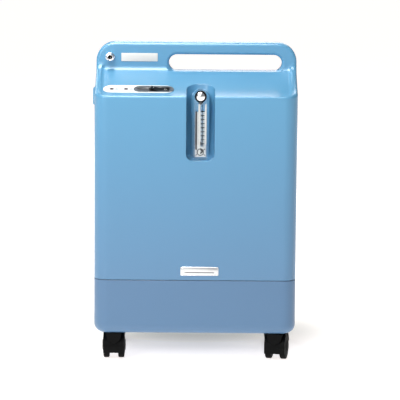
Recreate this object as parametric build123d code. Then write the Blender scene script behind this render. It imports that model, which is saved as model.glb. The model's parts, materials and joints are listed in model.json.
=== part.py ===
"""Bedside oxygen concentrator on four swivel casters, millimetres, +Z up.

The front face looks along -Y and the origin is on the floor, under the middle of the housing.
Depths are measured backwards from the front face, so a depth d lies at y = FRONT + d.
"""
import os
from math import asin, atan2, cos, degrees, hypot, pi, radians, sin, tan

from build123d import *

# ---- housing ----
BODY_W = 378.0
BODY_D = 238.0
TOTAL_H = 593.0
UNDERSIDE_Z = 54.0
FRONT = -120.0
REAR = FRONT + BODY_D
WALL = 3.0
FRONT_CORNER_R = 25.0
REAR_CORNER_R = 22.0
BOTTOM_R = 18.0
SEAM_Z = 157.0
SEAM_GAP = 1.2
PART_D = 124.0
PART_GAP = 0.5
LIP_H = 9.0

# ---- top deck and handle plate ----
DECK_FRONT_Z = 502.0
DECK_BACK_Z = 539.0
DECK_END_DEG = 30.0
DECK_CORNER_R = 11.0
RIM_W = 7.0
RIM_H = 2.0
RIM_FILLET = 10.0
RIM_CORNER_R = 18.0
PLATE_D = 107.5
PLATE_T = 33.0
PLATE_CORNER_R = 36.0
EDGE_R = 6.0
REAR_DECK_Z = 534.5
REAR_DECK_DEG = 14.0
REAR_DECK_R = 14.0

# ---- hand slot ----
SLOT_X0 = -52.0
SLOT_X1 = 161.0
SLOT_Z0 = 539.0
SLOT_Z1 = 570.0
SLOT_FLARE = 6.0
SLOT_REACH = 16.0

# ---- flowmeter niche ----
METER_X = 8.5
NICHE_W = 53.0
NICHE_D = 42.0
NICHE_Z = 382.0
NICHE_LEAN = 8.0
NICHE_R = 22.0
NICHE_LOW_R = 12.0
PAD_W = 34.0
PAD_FRONT_D = 36.0
PAD_TOP = 510.0
PAD_EDGE_R = 2.5
METER_FRONT_D = 10.0
METER_T = 23.0
METER_W = 23.5
METER_BASE_W = 25.0
METER_Z0 = 383.5
METER_BASE_TOP = 411.0
PORT_ZS = (METER_Z0 + 14.0, 489.5)
PORT_R = 2.0
NIPPLE_END_D = 75.0
NIPPLE_R = 3.0
NIPPLE_FLANGE_R = 5.0
NIPPLE_BORE_R = 1.8
KNOB_Z = 501.5
KNOB_R = 11.0
KNOB_CAP_R = 8.8
KNOB_L = 9.0
KNOB_STEM_R = 3.0
FLOAT_R = 4.0
BORE_R = 4.5

# ---- control panel ----
PANEL_X = -107.5
PANEL_L = 131.5
PANEL_D = 36.5
PANEL_W = 33.0
BEZEL_X = -79.0
BEZEL_L = 75.0
BEZEL_W = 26.0
ROCKER_X = -68.5
ROCKER_L = 36.0
ROCKER_W = 15.0
ROCKER_TILT = 8.0
ROCKER_PIVOT = 5.0
ROCKER_PIN_R = 1.5
LENS_X = (-157.5, -130.5)
LENS_R = 2.6

# ---- plate fittings and badges ----
OUTLET_X = -163.0
OUTLET_Z = 564.5
OUTLET_R = 7.1
OUTLET_L = 12.0
NAME_X = -107.5
NAME_W = 68.5
NAME_H = 15.5
BADGE_Z = 174.5
BADGE_W = 71.0
BADGE_H = 16.5

# ---- casters ----
WHEEL_R = 24.0
WHEEL_W = 13.5
WHEEL_GAP = 16.0
AXLE_R = 3.0
RUN_CLEAR = 0.06
TRAIL = 20.0
STEM_R = 5.5
STEM_TOP = 84.0
HOOD_R = 27.6
HOOD_T = 2.4
HOOD_FRONT_Z = 13.0
HOOD_REAR_DEG = 14.0
WHEEL_BULGE = 1.8
PROW_W = 30.0
PROW_Z = 30.0
PROW_REACH = 9.0
CASTERS = {
    "front_left": (-152.0, -93.0, 0.0),
    "front_right": (152.0, -93.0, -11.0),
    "rear_left": (-157.0, 70.0, 0.0),
    "rear_right": (157.0, 70.0, 0.0),
}

# ---- rear: filter door, humidifier bay, exhaust, cord inlet ----
FILTER_X0 = -20.0
FILTER_X1 = 150.0
FILTER_Z0 = 250.0
FILTER_Z1 = 420.0
FILTER_DEPTH = 33.0
FILTER_WALL = 5.0
DOOR_GAP = 0.5
DOOR_T = 3.0
DOOR_PIN_R = 1.3
DOOR_AXIS_Z = FILTER_Z0 + DOOR_GAP + DOOR_T / 2
DOOR_AXIS_Y = REAR - DOOR_GAP - DOOR_T / 2
BAY_X = -85.0
BAY_Y = 30.0
BAY_Z = 430.0
BAY_R = 20.0
BOTTLE_R = 41.0
STRAP_W = 25.0
STRAP_T = 1.6
STRAP_Z = 492.0
STRAP_R = 76.0
ANCHOR_PROUD = 5.4
EXHAUST_X = 110.0
EXHAUST_Z = 103.0
EXHAUST_W = 84.0
EXHAUST_H = 70.0
GLAND_X = -60.0
GLAND_Z = 96.0
GLAND_R = 9.0
GLAND_BORE_R = 3.9
GLAND_POCKET = 40.0
GLAND_POCKET_D = 14.0

# ---- screws ----
PLATE_SCREW_XS = (-176.0, -68.0, 176.0)
PLATE_SCREW_Z = 559.0
PLATE_SCREW_L = 26.0
LIP_SCREW_Z = SEAM_Z + SEAM_GAP / 2 + LIP_H / 2
LIP_SCREW_XS = (-150.0, -60.0, 30.0, 150.0)
LIP_SCREW_YS = (-70.0, 60.0)
LIP_SCREW_L = 8.0
SCREW_R = 2.0
SCREW_HEAD_R = 4.0
SCREW_HEAD_H = 2.2

# ---- inner works ----
CRADLE_Z = 92.0
MOTOR_Y = 30.0
MOTOR_Z = 152.0
MOTOR_R = 50.0
MOTOR_L = 84.0
CRANK_R = 46.0
CRANK_L = 36.0
HEAD_SIZE = 62.0
BED_R = 33.0
BED_Z0 = 96.0
BED_Z1 = 385.0
BEDS = (-141.0, -62.0)
CAPACITOR_Z = 114.0
CAPACITOR_R = 22.0
BED_Y = -74.0
TANK_X = 82.0
TANK_R = 32.0
FAN_SIZE = 80.0
FAN_Y0 = 86.0
FAN_Y1 = 111.0
FAN_HOLE_R = 37.0
COIL_TUBE_R = 4.0
HOSE_R = 4.0
HOSE_BEND = 6.0


# ---- plain helpers ----
def block(x0, x1, y0, y1, z0, z1):
    return Pos((x0 + x1) / 2, (y0 + y1) / 2, (z0 + z1) / 2) * Box(x1 - x0, y1 - y0, z1 - z0)


def post(x, y, z0, z1, r):
    return Pos(x, y, (z0 + z1) / 2) * Cylinder(r, z1 - z0)


def rod_x(x0, x1, y, z, r):
    return Pos((x0 + x1) / 2, y, z) * Rot(0, 90, 0) * Cylinder(r, x1 - x0)


def rod_y(x, y0, y1, z, r):
    return Pos(x, (y0 + y1) / 2, z) * Rot(90, 0, 0) * Cylinder(r, y1 - y0)


def stadium_y(x0, x1, y0, y1, z0, z1):
    """A bar with half-round ends that runs along X and is y1 - y0 thick."""
    shape = SlotOverall(x1 - x0, z1 - z0)
    return Pos((x0 + x1) / 2, y1, (z0 + z1) / 2) * Rot(90, 0, 0) * extrude(shape, y1 - y0)


def hose(points, radius, bend):
    """A solid hose along straight runs joined by arcs."""
    with BuildPart() as made:
        with BuildLine() as route:
            FilletPolyline(*points, radius=bend)
        with BuildSketch(Plane(route.line @ 0, z_dir=route.line % 0)):
            Circle(radius)
        sweep()
    return made.part


# ---- housing surfaces ----
def slope_points(front_z, back_z, corner_r):
    """Depth and height of the five points of a top line that ends in an upright face."""
    end_a = radians(DECK_END_DEG)
    centre = (PLATE_D - corner_r, back_z + corner_r * cos(end_a))
    join = (centre[0] + corner_r * sin(end_a), back_z)
    mid_a = radians(DECK_END_DEG / 2 - 45)
    corner = (centre[0] + corner_r * cos(mid_a), centre[1] + corner_r * sin(mid_a))
    run = hypot(join[0], join[1] - front_z)
    rise_a = atan2(join[1] - front_z, join[0])
    radius = run / (2 * sin(end_a - rise_a))
    sag = radius * (1 - cos(end_a - rise_a))
    middle = (join[0] / 2 + sin(rise_a) * sag, (front_z + back_z) / 2 - cos(rise_a) * sag)
    return (0, front_z), middle, join, corner, (PLATE_D, centre[1])


def at(depth_z, drop=0.0):
    return (FRONT + depth_z[0], depth_z[1] - drop)


def deck_z(depth):
    """Height of the deck at a depth, along its main curve."""
    start, middle, join, _, _ = slope_points(DECK_FRONT_Z, DECK_BACK_Z, DECK_CORNER_R)
    rise_a = atan2(join[1] - start[1], join[0])
    half = radians(DECK_END_DEG) - rise_a
    radius = hypot(join[0], join[1] - start[1]) / (2 * sin(half))
    start_a = rise_a - half
    here = asin(sin(start_a) + depth / radius)
    return start[1] + radius * (cos(start_a) - cos(here))


def deck_slope(depth):
    """Slope of the deck at a depth, in degrees."""
    return degrees(atan2(deck_z(depth + 1) - deck_z(depth - 1), 2))


def rear_deck_points():
    """Where the rear deck leaves the plate, its rounding, and where it meets the rear face."""
    back = PLATE_D + PLATE_T
    centre = (back + REAR_DECK_R, REAR_DECK_Z + REAR_DECK_R)
    drop_a = radians(REAR_DECK_DEG)
    leave = (centre[0] - REAR_DECK_R * sin(drop_a), centre[1] - REAR_DECK_R * cos(drop_a))
    mid_a = radians((450 - REAR_DECK_DEG) / 2)
    corner = (centre[0] + REAR_DECK_R * cos(mid_a), centre[1] + REAR_DECK_R * sin(mid_a))
    end = (BODY_D, leave[1] - (BODY_D - leave[0]) * tan(drop_a))
    return (back, centre[1]), corner, leave, end


def plan(inset):
    """Outline of the housing seen from above."""
    outline = Pos(0, (FRONT + REAR) / 2) * Rectangle(BODY_W - 2 * inset, BODY_D - 2 * inset)
    outline = fillet(outline.vertices().sort_by(Axis.Y)[:2], FRONT_CORNER_R - inset)
    return fillet(outline.vertices().sort_by(Axis.Y)[-2:], REAR_CORNER_R - inset)


def side_profile():
    """Outline of the housing seen from the side, with the raised side rims of the deck."""
    start, middle, join, corner, top = slope_points(
        DECK_FRONT_Z + RIM_H / 2, DECK_BACK_Z + RIM_H, RIM_CORNER_R)
    back, rear_corner, leave, end = rear_deck_points()
    with BuildSketch(Plane.YZ) as made:
        with BuildLine():
            Line(at((0, 0)), at(start))
            ThreePointArc(at(start), at(middle), at(join))
            ThreePointArc(at(join), at(corner), at(top))
            Polyline(at(top), at((PLATE_D, TOTAL_H)), at((back[0], TOTAL_H)), at(back))
            ThreePointArc(at(back), at(rear_corner), at(leave))
            Polyline(at(leave), at(end), at((BODY_D, 0)), at((0, 0)))
        make_face()
    return made.sketch


def under_deck(drop, half_width):
    """Everything below the deck's main curve, let down by a drop, out to a half width."""
    start, middle, join, _, _ = slope_points(DECK_FRONT_Z, DECK_BACK_Z, DECK_CORNER_R)
    _, _, leave, end = rear_deck_points()
    with BuildSketch(Plane.YZ) as made:
        with BuildLine():
            Line(at((0, 0)), at(start, drop))
            ThreePointArc(at(start, drop), at(middle, drop), at(join, drop))
            Polyline(at(join, drop), at(leave, drop), at(end, drop), at((BODY_D, 0)), at((0, 0)))
        make_face()
    return extrude(made.sketch, half_width, both=True)


def above_deck():
    """The space over the deck between the two side rims."""
    start, middle, join, corner, top = slope_points(DECK_FRONT_Z, DECK_BACK_Z, DECK_CORNER_R)
    ahead = (-RIM_W, DECK_FRONT_Z - RIM_W * tan(radians(deck_slope(1))))
    high = TOTAL_H + EDGE_R
    half_w = BODY_W / 2 - RIM_W
    with BuildSketch(Plane.YZ) as made:
        with BuildLine():
            Line(at(ahead), at(start))
            ThreePointArc(at(start), at(middle), at(join))
            ThreePointArc(at(join), at(corner), at(top))
            Polyline(at(top), at((PLATE_D, high)), at((ahead[0], high)), at(ahead))
        make_face()
    space = extrude(made.sketch, half_w, both=True)
    sides = [edge for edge in space.edges() if abs((edge @ 0.5).X) > half_w - 0.01]
    return fillet([edge for edge in sides if (edge @ 0.5).Z < high - 0.01 and
                   (edge @ 0.5).Y > FRONT + ahead[0] + 0.01], RIM_FILLET)


def outer_block():
    """The solid outer form before anything is cut into it."""
    upright = Pos(0, 0, UNDERSIDE_Z) * extrude(plan(0), TOTAL_H)
    arch = Pos(0, TOTAL_H / 2) * Rectangle(BODY_W, TOTAL_H)
    arch = fillet(arch.vertices().sort_by(Axis.Y)[-2:], PLATE_CORNER_R)
    form = upright & extrude(side_profile(), BODY_W, both=True)
    form = form & (Rot(90, 0, 0) * extrude(arch, BODY_D, both=True))
    form = fillet([e for e in form.edges() if abs(e.center().Z - UNDERSIDE_Z) < 0.01], BOTTOM_R)
    for face_y in (FRONT + PLATE_D + PLATE_T, FRONT + PLATE_D):
        form = fillet(plate_edges(form, face_y), EDGE_R)
    return form - above_deck()


def plate_edges(form, face_y):
    """Edges round one face of the handle plate and along the deck beside it."""
    toward = 1 if face_y > FRONT + PLATE_D + 1 else -1
    chosen = []
    for edge in form.edges():
        box = edge.bounding_box()
        middle = edge @ 0.5
        flat_y = abs(box.min.Y - face_y) < 0.01 and abs(box.max.Y - face_y) < 0.01
        on_plate = flat_y and (abs(middle.X) > 1 or middle.Z > TOTAL_H - 1)
        on_side = abs(abs(middle.X) - BODY_W / 2) < 0.02 and box.max.X - box.min.X < 0.01
        beyond = (middle.Y - face_y) * toward > -0.01
        if middle.Z > DECK_FRONT_Z - 3 and (on_plate or (on_side and beyond)):
            chosen.append(edge)
    return chosen


def slot_space():
    """The hand slot: a stadium through the plate, flared at both faces, flush with the deck."""
    y0 = FRONT + PLATE_D
    y1 = y0 + PLATE_T
    far = SLOT_FLARE + SLOT_REACH
    sheet = block(SLOT_X0 - far, SLOT_X1 + far, y0, y1, SLOT_Z0 - far, SLOT_Z1 + far)
    holed = sheet - stadium_y(SLOT_X0, SLOT_X1, y0 - 1, y1 + 1, SLOT_Z0, SLOT_Z1)
    rims = [e for e in holed.edges() if SLOT_Z0 - 1 < (e @ 0.5).Z < SLOT_Z1 + 1
            and SLOT_X0 - 1 < (e @ 0.5).X < SLOT_X1 + 1 and abs((e % 0.5).Y) < 0.5]
    flared = sheet - fillet(rims, SLOT_FLARE)
    wide = SLOT_FLARE
    for near, ahead in ((y0 - SLOT_REACH, y0), (y1, y1 + SLOT_REACH)):
        flared += stadium_y(SLOT_X0 - wide, SLOT_X1 + wide, near, ahead,
                            SLOT_Z0 - wide, SLOT_Z1 + wide)
    return flared & block(-BODY_W, BODY_W, FRONT, REAR, SLOT_Z0, TOTAL_H)


def niche_block(grow):
    """The flowmeter niche: a round-backed channel that leans back, open to front and deck."""
    low = NICHE_Z - grow
    lean = radians(NICHE_LEAN)
    height = TOTAL_H - low
    mouth = FRONT - height * tan(lean) - 1
    back = FRONT + NICHE_D + grow
    outline = Pos(METER_X, (mouth + back) / 2, low) * Rectangle(
        NICHE_W + 2 * grow, back - mouth)
    outline = fillet(outline.vertices().sort_by(Axis.Y)[-2:], NICHE_R + grow)
    space = extrude(outline, height / cos(lean), dir=(0, sin(lean), cos(lean)))
    foot = [e for e in space.edges() if abs((e @ 0.5).Z - low) < 0.01
            and (e @ 0.5).Y > mouth + 0.01]
    return fillet(foot, NICHE_LOW_R + grow)


def niche_pad():
    """The raised pad with a round top that carries the flowmeter at the back of the niche."""
    x0 = METER_X - PAD_W / 2
    x1 = METER_X + PAD_W / 2
    y0 = FRONT + PAD_FRONT_D
    y1 = FRONT + PLATE_D
    pad = block(x0, x1, y0, y1, NICHE_Z - WALL, PAD_TOP - PAD_W / 2)
    pad += rod_y(METER_X, y0, y1, PAD_TOP - PAD_W / 2, PAD_W / 2)
    rim = [e for e in pad.edges() if abs((e @ 0.5).Y - y0) < 0.01 and (e @ 0.5).Z > NICHE_Z]
    return fillet(rim, PAD_EDGE_R) & niche_block(WALL / 2)


def bay_space(grow):
    """The corner bay for a humidifier bottle, open to the top, the rear and the left."""
    far = BODY_W / 2 + 5
    space = block(-far, BAY_X + grow, BAY_Y - grow, REAR + 5, BAY_Z - grow, TOTAL_H)
    inner = [e for e in space.edges() if abs((e % 0.5).Z) > 0.5
             and (e @ 0.5).X > BAY_X + grow - 0.01 and (e @ 0.5).Y < BAY_Y + 0.01]
    return fillet(inner, BAY_R)


def filter_space(grow):
    """The recess behind the filter door."""
    return block(FILTER_X0 - grow, FILTER_X1 + grow, REAR - FILTER_DEPTH - grow, REAR + 5,
                 FILTER_Z0 - grow, FILTER_Z1 + grow)


def gland_space(grow):
    """The pocket round the cord inlet."""
    half = GLAND_POCKET / 2 + grow
    return block(GLAND_X - half, GLAND_X + half, REAR - GLAND_POCKET_D - grow, REAR + 5,
                 GLAND_Z - half, GLAND_Z + half)


def panel_outline(length, width, centre_x, grow=0.0):
    """An upright bar with half-round ends through the deck at the control panel."""
    bar = extrude(SlotOverall(length + 2 * grow, width + 2 * grow), 80)
    return Pos(centre_x, FRONT + PANEL_D, DECK_FRONT_Z - 30) * bar


def skin(drop_top, drop_low):
    """A layer that follows the deck."""
    return under_deck(drop_top, BODY_W / 2) - under_deck(drop_low, BODY_W / 2 + 1)


def cavity():
    """The hollow inside the housing, kept a wall away from every recess."""
    space = Pos(0, 0, UNDERSIDE_Z + WALL) * extrude(plan(WALL), TOTAL_H)
    low = [e for e in space.edges() if (e @ 0.5).Z < UNDERSIDE_Z + WALL + 0.01]
    space = fillet(low, BOTTOM_R - WALL)
    space = space & under_deck(WALL * 1.2, BODY_W / 2)
    space -= niche_block(WALL)
    space -= bay_space(WALL)
    space -= filter_space(FILTER_WALL)
    space -= gland_space(WALL)
    space += block(OUTLET_X - 13, OUTLET_X + 13, FRONT + PLATE_D + WALL,
                   FRONT + PLATE_D + PLATE_T - WALL, DECK_BACK_Z - 10, OUTLET_Z + 13)
    return space


def screw(length):
    """A countersunk screw with a cross slot; the head is flush with z = 0 and points up."""
    head = Pos(0, 0, -SCREW_HEAD_H / 2) * Cone(SCREW_R, SCREW_HEAD_R, SCREW_HEAD_H)
    shank = Pos(0, 0, -(SCREW_HEAD_H + length) / 2) * Cylinder(SCREW_R, length - SCREW_HEAD_H)
    body = head + shank
    for turn in (0, 90):
        body -= Rot(0, 0, turn) * Box(4.6, 0.9, 2.2)
    return body


def screw_places():
    """Every housing screw: its head's place and its length."""
    places = []
    for x in LIP_SCREW_XS:
        places.append((Pos(x, REAR, LIP_SCREW_Z) * Rot(-90, 0, 0), LIP_SCREW_L))
    for y in LIP_SCREW_YS:
        for side in (-1, 1):
            turned = Pos(side * BODY_W / 2, y, LIP_SCREW_Z) * Rot(0, 90 * side, 0)
            places.append((turned, LIP_SCREW_L))
    for x in PLATE_SCREW_XS:
        turned = Pos(x, FRONT + PLATE_D + PLATE_T, PLATE_SCREW_Z) * Rot(-90, 0, 0)
        places.append((turned, PLATE_SCREW_L))
    return places


def screw_holes():
    holes = []
    for place, length in screw_places():
        head = Pos(0, 0, -SCREW_HEAD_H / 2) * Cone(SCREW_R, SCREW_HEAD_R, SCREW_HEAD_H)
        shank = Pos(0, 0, -length / 2) * Cylinder(SCREW_R, length)
        holes.append(place * (head + shank))
    return holes


def housing_shell():
    """The whole housing wall, before it is parted into the tray and the two covers."""
    solid = outer_block() - slot_space() - niche_block(0) + niche_pad()
    solid -= bay_space(0)
    solid -= filter_space(0)
    solid -= gland_space(0)
    solid -= panel_outline(PANEL_L, PANEL_W, PANEL_X, 0.2) & skin(-5, 1.6)
    solid -= panel_outline(BEZEL_L, BEZEL_W, BEZEL_X, 0.2) & skin(-5, 8)
    solid -= cavity()
    solid -= rod_y(OUTLET_X, FRONT, FRONT + PLATE_D + WALL + 1, OUTLET_Z, 5.0)
    for hole in screw_holes():
        solid -= hole
    return solid


def front_cover(shell):
    """Front face, deck and the front half of the handle plate."""
    part = shell & block(-BODY_W, BODY_W, FRONT - 5, FRONT + PART_D - PART_GAP / 2,
                         SEAM_Z + SEAM_GAP / 2, TOTAL_H + 1)
    for z in PORT_ZS:
        part -= rod_y(METER_X, FRONT + PAD_FRONT_D - 1, FRONT + NIPPLE_END_D, z, NIPPLE_R + 0.2)
    return part


def rear_housing(shell):
    """Rear and side walls, the rear half of the handle plate, the filter recess and the bay."""
    part = shell & block(-BODY_W, BODY_W, FRONT + PART_D + PART_GAP / 2, REAR + 1,
                         SEAM_Z + SEAM_GAP / 2, TOTAL_H + 1)
    for x0, x1 in ((FILTER_X0 - 3.4, FILTER_X0), (FILTER_X1, FILTER_X1 + 3.4)):
        part -= rod_x(x0, x1, DOOR_AXIS_Y, DOOR_AXIS_Z, DOOR_PIN_R + RUN_CLEAR)
    mid_x = (FILTER_X0 + FILTER_X1) / 2
    mid_z = (FILTER_Z0 + FILTER_Z1) / 2
    part -= rod_y(mid_x, REAR - FILTER_DEPTH - FILTER_WALL - 1, REAR - FILTER_DEPTH, mid_z, 22)
    return part


def base_tray(shell):
    """The tub under the seam, with its lip, the caster sockets and the spring seats."""
    part = shell & block(-BODY_W, BODY_W, FRONT - 5, REAR + 1, 0, SEAM_Z - SEAM_GAP / 2)
    inner = extrude(plan(WALL + 3.3), SEAM_Z + LIP_H)
    foot = extrude(plan(WALL - 0.5), SEAM_Z - 2) - inner
    part += foot & block(-BODY_W, BODY_W, FRONT, REAR, SEAM_Z - 12, SEAM_Z)
    lip = extrude(plan(WALL + 0.3), SEAM_Z + LIP_H) - inner
    part += lip & block(-BODY_W, BODY_W, FRONT, REAR, SEAM_Z - 3, SEAM_Z + LIP_H)
    for x, y, _ in CASTERS.values():
        part += post(x, y, UNDERSIDE_Z + 0.5, STEM_TOP + 4, 12)
        part -= post(x, y, UNDERSIDE_Z - 1, STEM_TOP + 1, STEM_R + RUN_CLEAR)
    for x, y in spring_places():
        part += post(x, y, UNDERSIDE_Z + 1, UNDERSIDE_Z + WALL + 8, 6)
    half_w = EXHAUST_W / 2
    half_h = EXHAUST_H / 2
    part -= block(EXHAUST_X - half_w, EXHAUST_X + half_w, REAR - 10, REAR + 5,
                  EXHAUST_Z - half_h, EXHAUST_Z + half_h)
    part -= rod_y(GLAND_X, REAR - GLAND_POCKET_D - WALL - 1, REAR, GLAND_Z, GLAND_R - 2)
    for hole in screw_holes():
        part -= hole
    return part


# ---- control panel ----
def deck_plane(x, depth):
    """A frame on the deck: local x along X, local y up the slope, local z out of the deck."""
    return Pos(x, FRONT + depth, deck_z(depth)) * Rot(deck_slope(depth), 0, 0)


def control_panel():
    """The pale oval inlay, with a hole for the switch bezel and two lens holes."""
    part = panel_outline(PANEL_L, PANEL_W, PANEL_X) & skin(-0.6, 1.4)
    part -= panel_outline(BEZEL_L, BEZEL_W, BEZEL_X, 0.1)
    for x in LENS_X:
        part -= post(x, FRONT + PANEL_D, DECK_FRONT_Z - 20, DECK_FRONT_Z + 40, LENS_R + 0.4)
    return part


def indicator_lenses():
    """Two small domed lenses."""
    lenses = []
    for x in LENS_X:
        here = deck_plane(x, PANEL_D)
        lens = Pos(0, 0, -0.3) * Cylinder(LENS_R, 2.0) + Pos(0, 0, -1.9) * Sphere(LENS_R * 1.4)
        lens = lens & (Pos(0, 0, 1) * Cylinder(LENS_R, 5))
        lenses.append(here * lens)
    return Compound(children=lenses)


def switch_bezel():
    """The dark oval dish round the rocker."""
    part = panel_outline(BEZEL_L, BEZEL_W, BEZEL_X) & skin(-1.2, 7.6)
    here = deck_plane(BEZEL_X, PANEL_D)
    bowl = Pos(0, 0, 2.0) * scale(Sphere(10), by=(3.2, 1.0, 0.42))
    part -= here * bowl
    part -= deck_plane(ROCKER_X, PANEL_D) * Box(ROCKER_L + 1.6, ROCKER_W + 1.4, 40)
    return part


def rocker_frame():
    return deck_plane(ROCKER_X, PANEL_D) * Pos(0, 0, -ROCKER_PIVOT)


def power_switch_rocker():
    """The black rocker, its left end up, turning on a pin below the deck."""
    reach = ROCKER_L / 2
    drum = Rot(90, 0, 0) * Cylinder(reach, ROCKER_W)
    part = drum & (Pos(0, 0, 2) * Box(ROCKER_L, ROCKER_W, 13))
    hollow_r = 60.0
    part -= Pos(0, 0, hollow_r + 5.6) * Rot(90, 0, 0) * Cylinder(hollow_r, ROCKER_W + 1)
    part = fillet(part.edges().filter_by(Axis.Y).sort_by(Axis.Z)[-2:], 0.8)
    part -= Rot(90, 0, 0) * Cylinder(ROCKER_PIN_R + RUN_CLEAR, ROCKER_W + 1)
    return rocker_frame() * Rot(0, ROCKER_TILT, 0) * part


def power_switch_body():
    """The switch body under the bezel, with the rocker's pin and three blades."""
    tub = Pos(0, 0, -9) * Box(ROCKER_L + 6, ROCKER_W + 6, 22)
    tub -= Pos(0, 0, -4) * Box(ROCKER_L + 1.6, ROCKER_W + 1, 24)
    tub += Rot(90, 0, 0) * Cylinder(ROCKER_PIN_R, ROCKER_W + 4)
    for x in (-11, 0, 11):
        tub += Pos(x, 0, -24) * Box(0.8, 6.3, 9)
    cap = deck_plane(ROCKER_X, PANEL_D) * Pos(0, 0, -18.2) * Box(60, 40, 20)
    return rocker_frame() * tub & cap


# ---- flowmeter ----
def flowmeter_body():
    """The clear block: a wide foot, a slim stem with a round head, and a bore for the float."""
    y0 = FRONT + METER_FRONT_D
    y1 = y0 + METER_T
    half = METER_W / 2
    foot_half = METER_BASE_W / 2
    part = block(METER_X - half, METER_X + half, y0, y1, METER_BASE_TOP - 1, KNOB_Z)
    part += rod_y(METER_X, y0, y1, KNOB_Z, half)
    foot = block(METER_X - foot_half, METER_X + foot_half, y0 - 1, y1, METER_Z0, METER_BASE_TOP)
    part += fillet(foot.edges().filter_by(Axis.Y), 3)
    part -= post(METER_X, (y0 + y1) / 2, METER_BASE_TOP - 4, METER_BASE_TOP + 74, BORE_R)
    part -= rod_y(METER_X, y0 - 2, y0 + METER_T - 4, KNOB_Z, KNOB_STEM_R + RUN_CLEAR)
    for z in PORT_ZS:
        part -= rod_y(METER_X, (y0 + y1) / 2, y1 + 1, z, PORT_R)
    return part


def flowmeter_float():
    """The little ball that rides in the bore."""
    return Pos(METER_X, FRONT + METER_FRONT_D + METER_T / 2, METER_BASE_TOP + 1) * Sphere(FLOAT_R)


def flowmeter_knob():
    """The fluted black knob and its needle stem."""
    y1 = FRONT + METER_FRONT_D - 0.4
    y0 = y1 - KNOB_L
    part = rod_y(METER_X, y0, y1, KNOB_Z, KNOB_R)
    part = chamfer(part.edges().filter_by(GeomType.CIRCLE).sort_by(Axis.Y)[0], 1.2)
    flutes = 18
    for step in range(flutes):
        turn = 2 * pi * step / flutes
        part -= rod_y(METER_X + (KNOB_R + 0.5) * cos(turn), y0 - 1, y1 - 1,
                      KNOB_Z + (KNOB_R + 0.5) * sin(turn), 1.1)
    part -= rod_y(METER_X, y0 - 1, y0 + 1.2, KNOB_Z, KNOB_CAP_R)
    part += rod_y(METER_X, y1 - 1, y1 + METER_T - 7, KNOB_Z, KNOB_STEM_R)
    return part


def flowmeter_knob_cap():
    """The bright domed cap on the knob."""
    seat = FRONT + METER_FRONT_D - 0.4 - KNOB_L + 1.2
    dome_r = 13.0
    ball = Pos(METER_X, seat - 3.4 + dome_r, KNOB_Z) * Sphere(dome_r)
    return ball & rod_y(METER_X, seat - 6, seat, KNOB_Z, KNOB_CAP_R - 0.05)


def pneumatic_fittings():
    """Two nipples from the back of the flowmeter through the pad, and the outlet's nut."""
    nipples = [outlet_nut()]
    y0 = FRONT + METER_FRONT_D + METER_T
    y1 = FRONT + NIPPLE_END_D
    for z in PORT_ZS:
        nipple = rod_y(METER_X, y0, y1, z, NIPPLE_R)
        nipple += rod_y(METER_X, y0, y0 + 2.2, z, NIPPLE_FLANGE_R)
        nipples.append(nipple - rod_y(METER_X, y0 - 1, y1 + 1, z, NIPPLE_BORE_R))
    return Compound(children=nipples)


# ---- plate fittings and badges ----
def oxygen_outlet_fitting():
    """The bright outlet: a collar on the plate and a straight nozzle with a bore."""
    face = FRONT + PLATE_D
    part = rod_y(OUTLET_X, face - 3, face, OUTLET_Z, OUTLET_R + 1.4)
    part += rod_y(OUTLET_X, face - OUTLET_L, face - 3, OUTLET_Z, OUTLET_R)
    part += rod_y(OUTLET_X, face, face + WALL + 10, OUTLET_Z, 4.9)
    part -= rod_y(OUTLET_X, face - OUTLET_L - 1, face + 20, OUTLET_Z, 2.4)
    cup = Pos(OUTLET_X, face - OUTLET_L + 2, OUTLET_Z) * Rot(90, 0, 0) * Cone(2.4, 5.0, 4)
    return part - cup


def outlet_nut():
    """The hexagon nut behind the plate's wall."""
    y0 = FRONT + PLATE_D + WALL + 0.05
    nut = extrude(RegularPolygon(8.0, 6), 4)
    nut = Pos(OUTLET_X, y0 + 4, OUTLET_Z) * Rot(90, 0, 0) * nut
    return nut - rod_y(OUTLET_X, y0 - 1, y0 + 5, OUTLET_Z, 4.95)


def name_plate():
    face = FRONT + PLATE_D
    return block(NAME_X - NAME_W / 2, NAME_X + NAME_W / 2, face - 0.6, face,
                 OUTLET_Z - NAME_H / 2, OUTLET_Z + NAME_H / 2)


def badge_plate():
    """A thin metal badge with rounded corners and a low raised border."""
    part = block(METER_X - BADGE_W / 2, METER_X + BADGE_W / 2, FRONT - 1.2, FRONT,
                 BADGE_Z - BADGE_H / 2, BADGE_Z + BADGE_H / 2)
    part = fillet(part.edges().filter_by(Axis.Y), 2)
    inset = 1.6
    part -= block(METER_X - BADGE_W / 2 + inset, METER_X + BADGE_W / 2 - inset, FRONT - 2,
                  FRONT - 0.8, BADGE_Z - BADGE_H / 2 + inset, BADGE_Z + BADGE_H / 2 - inset)
    return part


def cover_screws():
    return Compound(children=[place * screw(length) for place, length in screw_places()])


# ---- rear pieces ----
def filter_door():
    """The louvred door: round lower edge on two pins, a finger notch at the top."""
    x0 = FILTER_X0 + DOOR_GAP
    x1 = FILTER_X1 - DOOR_GAP
    y0 = DOOR_AXIS_Y - DOOR_T / 2
    y1 = DOOR_AXIS_Y + DOOR_T / 2
    part = block(x0, x1, y0, y1, DOOR_AXIS_Z, FILTER_Z1 - DOOR_GAP)
    part += rod_x(x0, x1, DOOR_AXIS_Y, DOOR_AXIS_Z, DOOR_T / 2)
    part += rod_x(x0 - 3.2, x1 + 3.2, DOOR_AXIS_Y, DOOR_AXIS_Z, DOOR_PIN_R)
    mid = (x0 + x1) / 2
    for step in range(10):
        z = FILTER_Z0 + 36 + step * 11
        part -= stadium_y(mid - 58, mid + 58, y0 - 1, y1 + 1, z, z + 5)
    return part - rod_y(mid, y0 - 1, y1 + 1, FILTER_Z1 + 4, 14)


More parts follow.
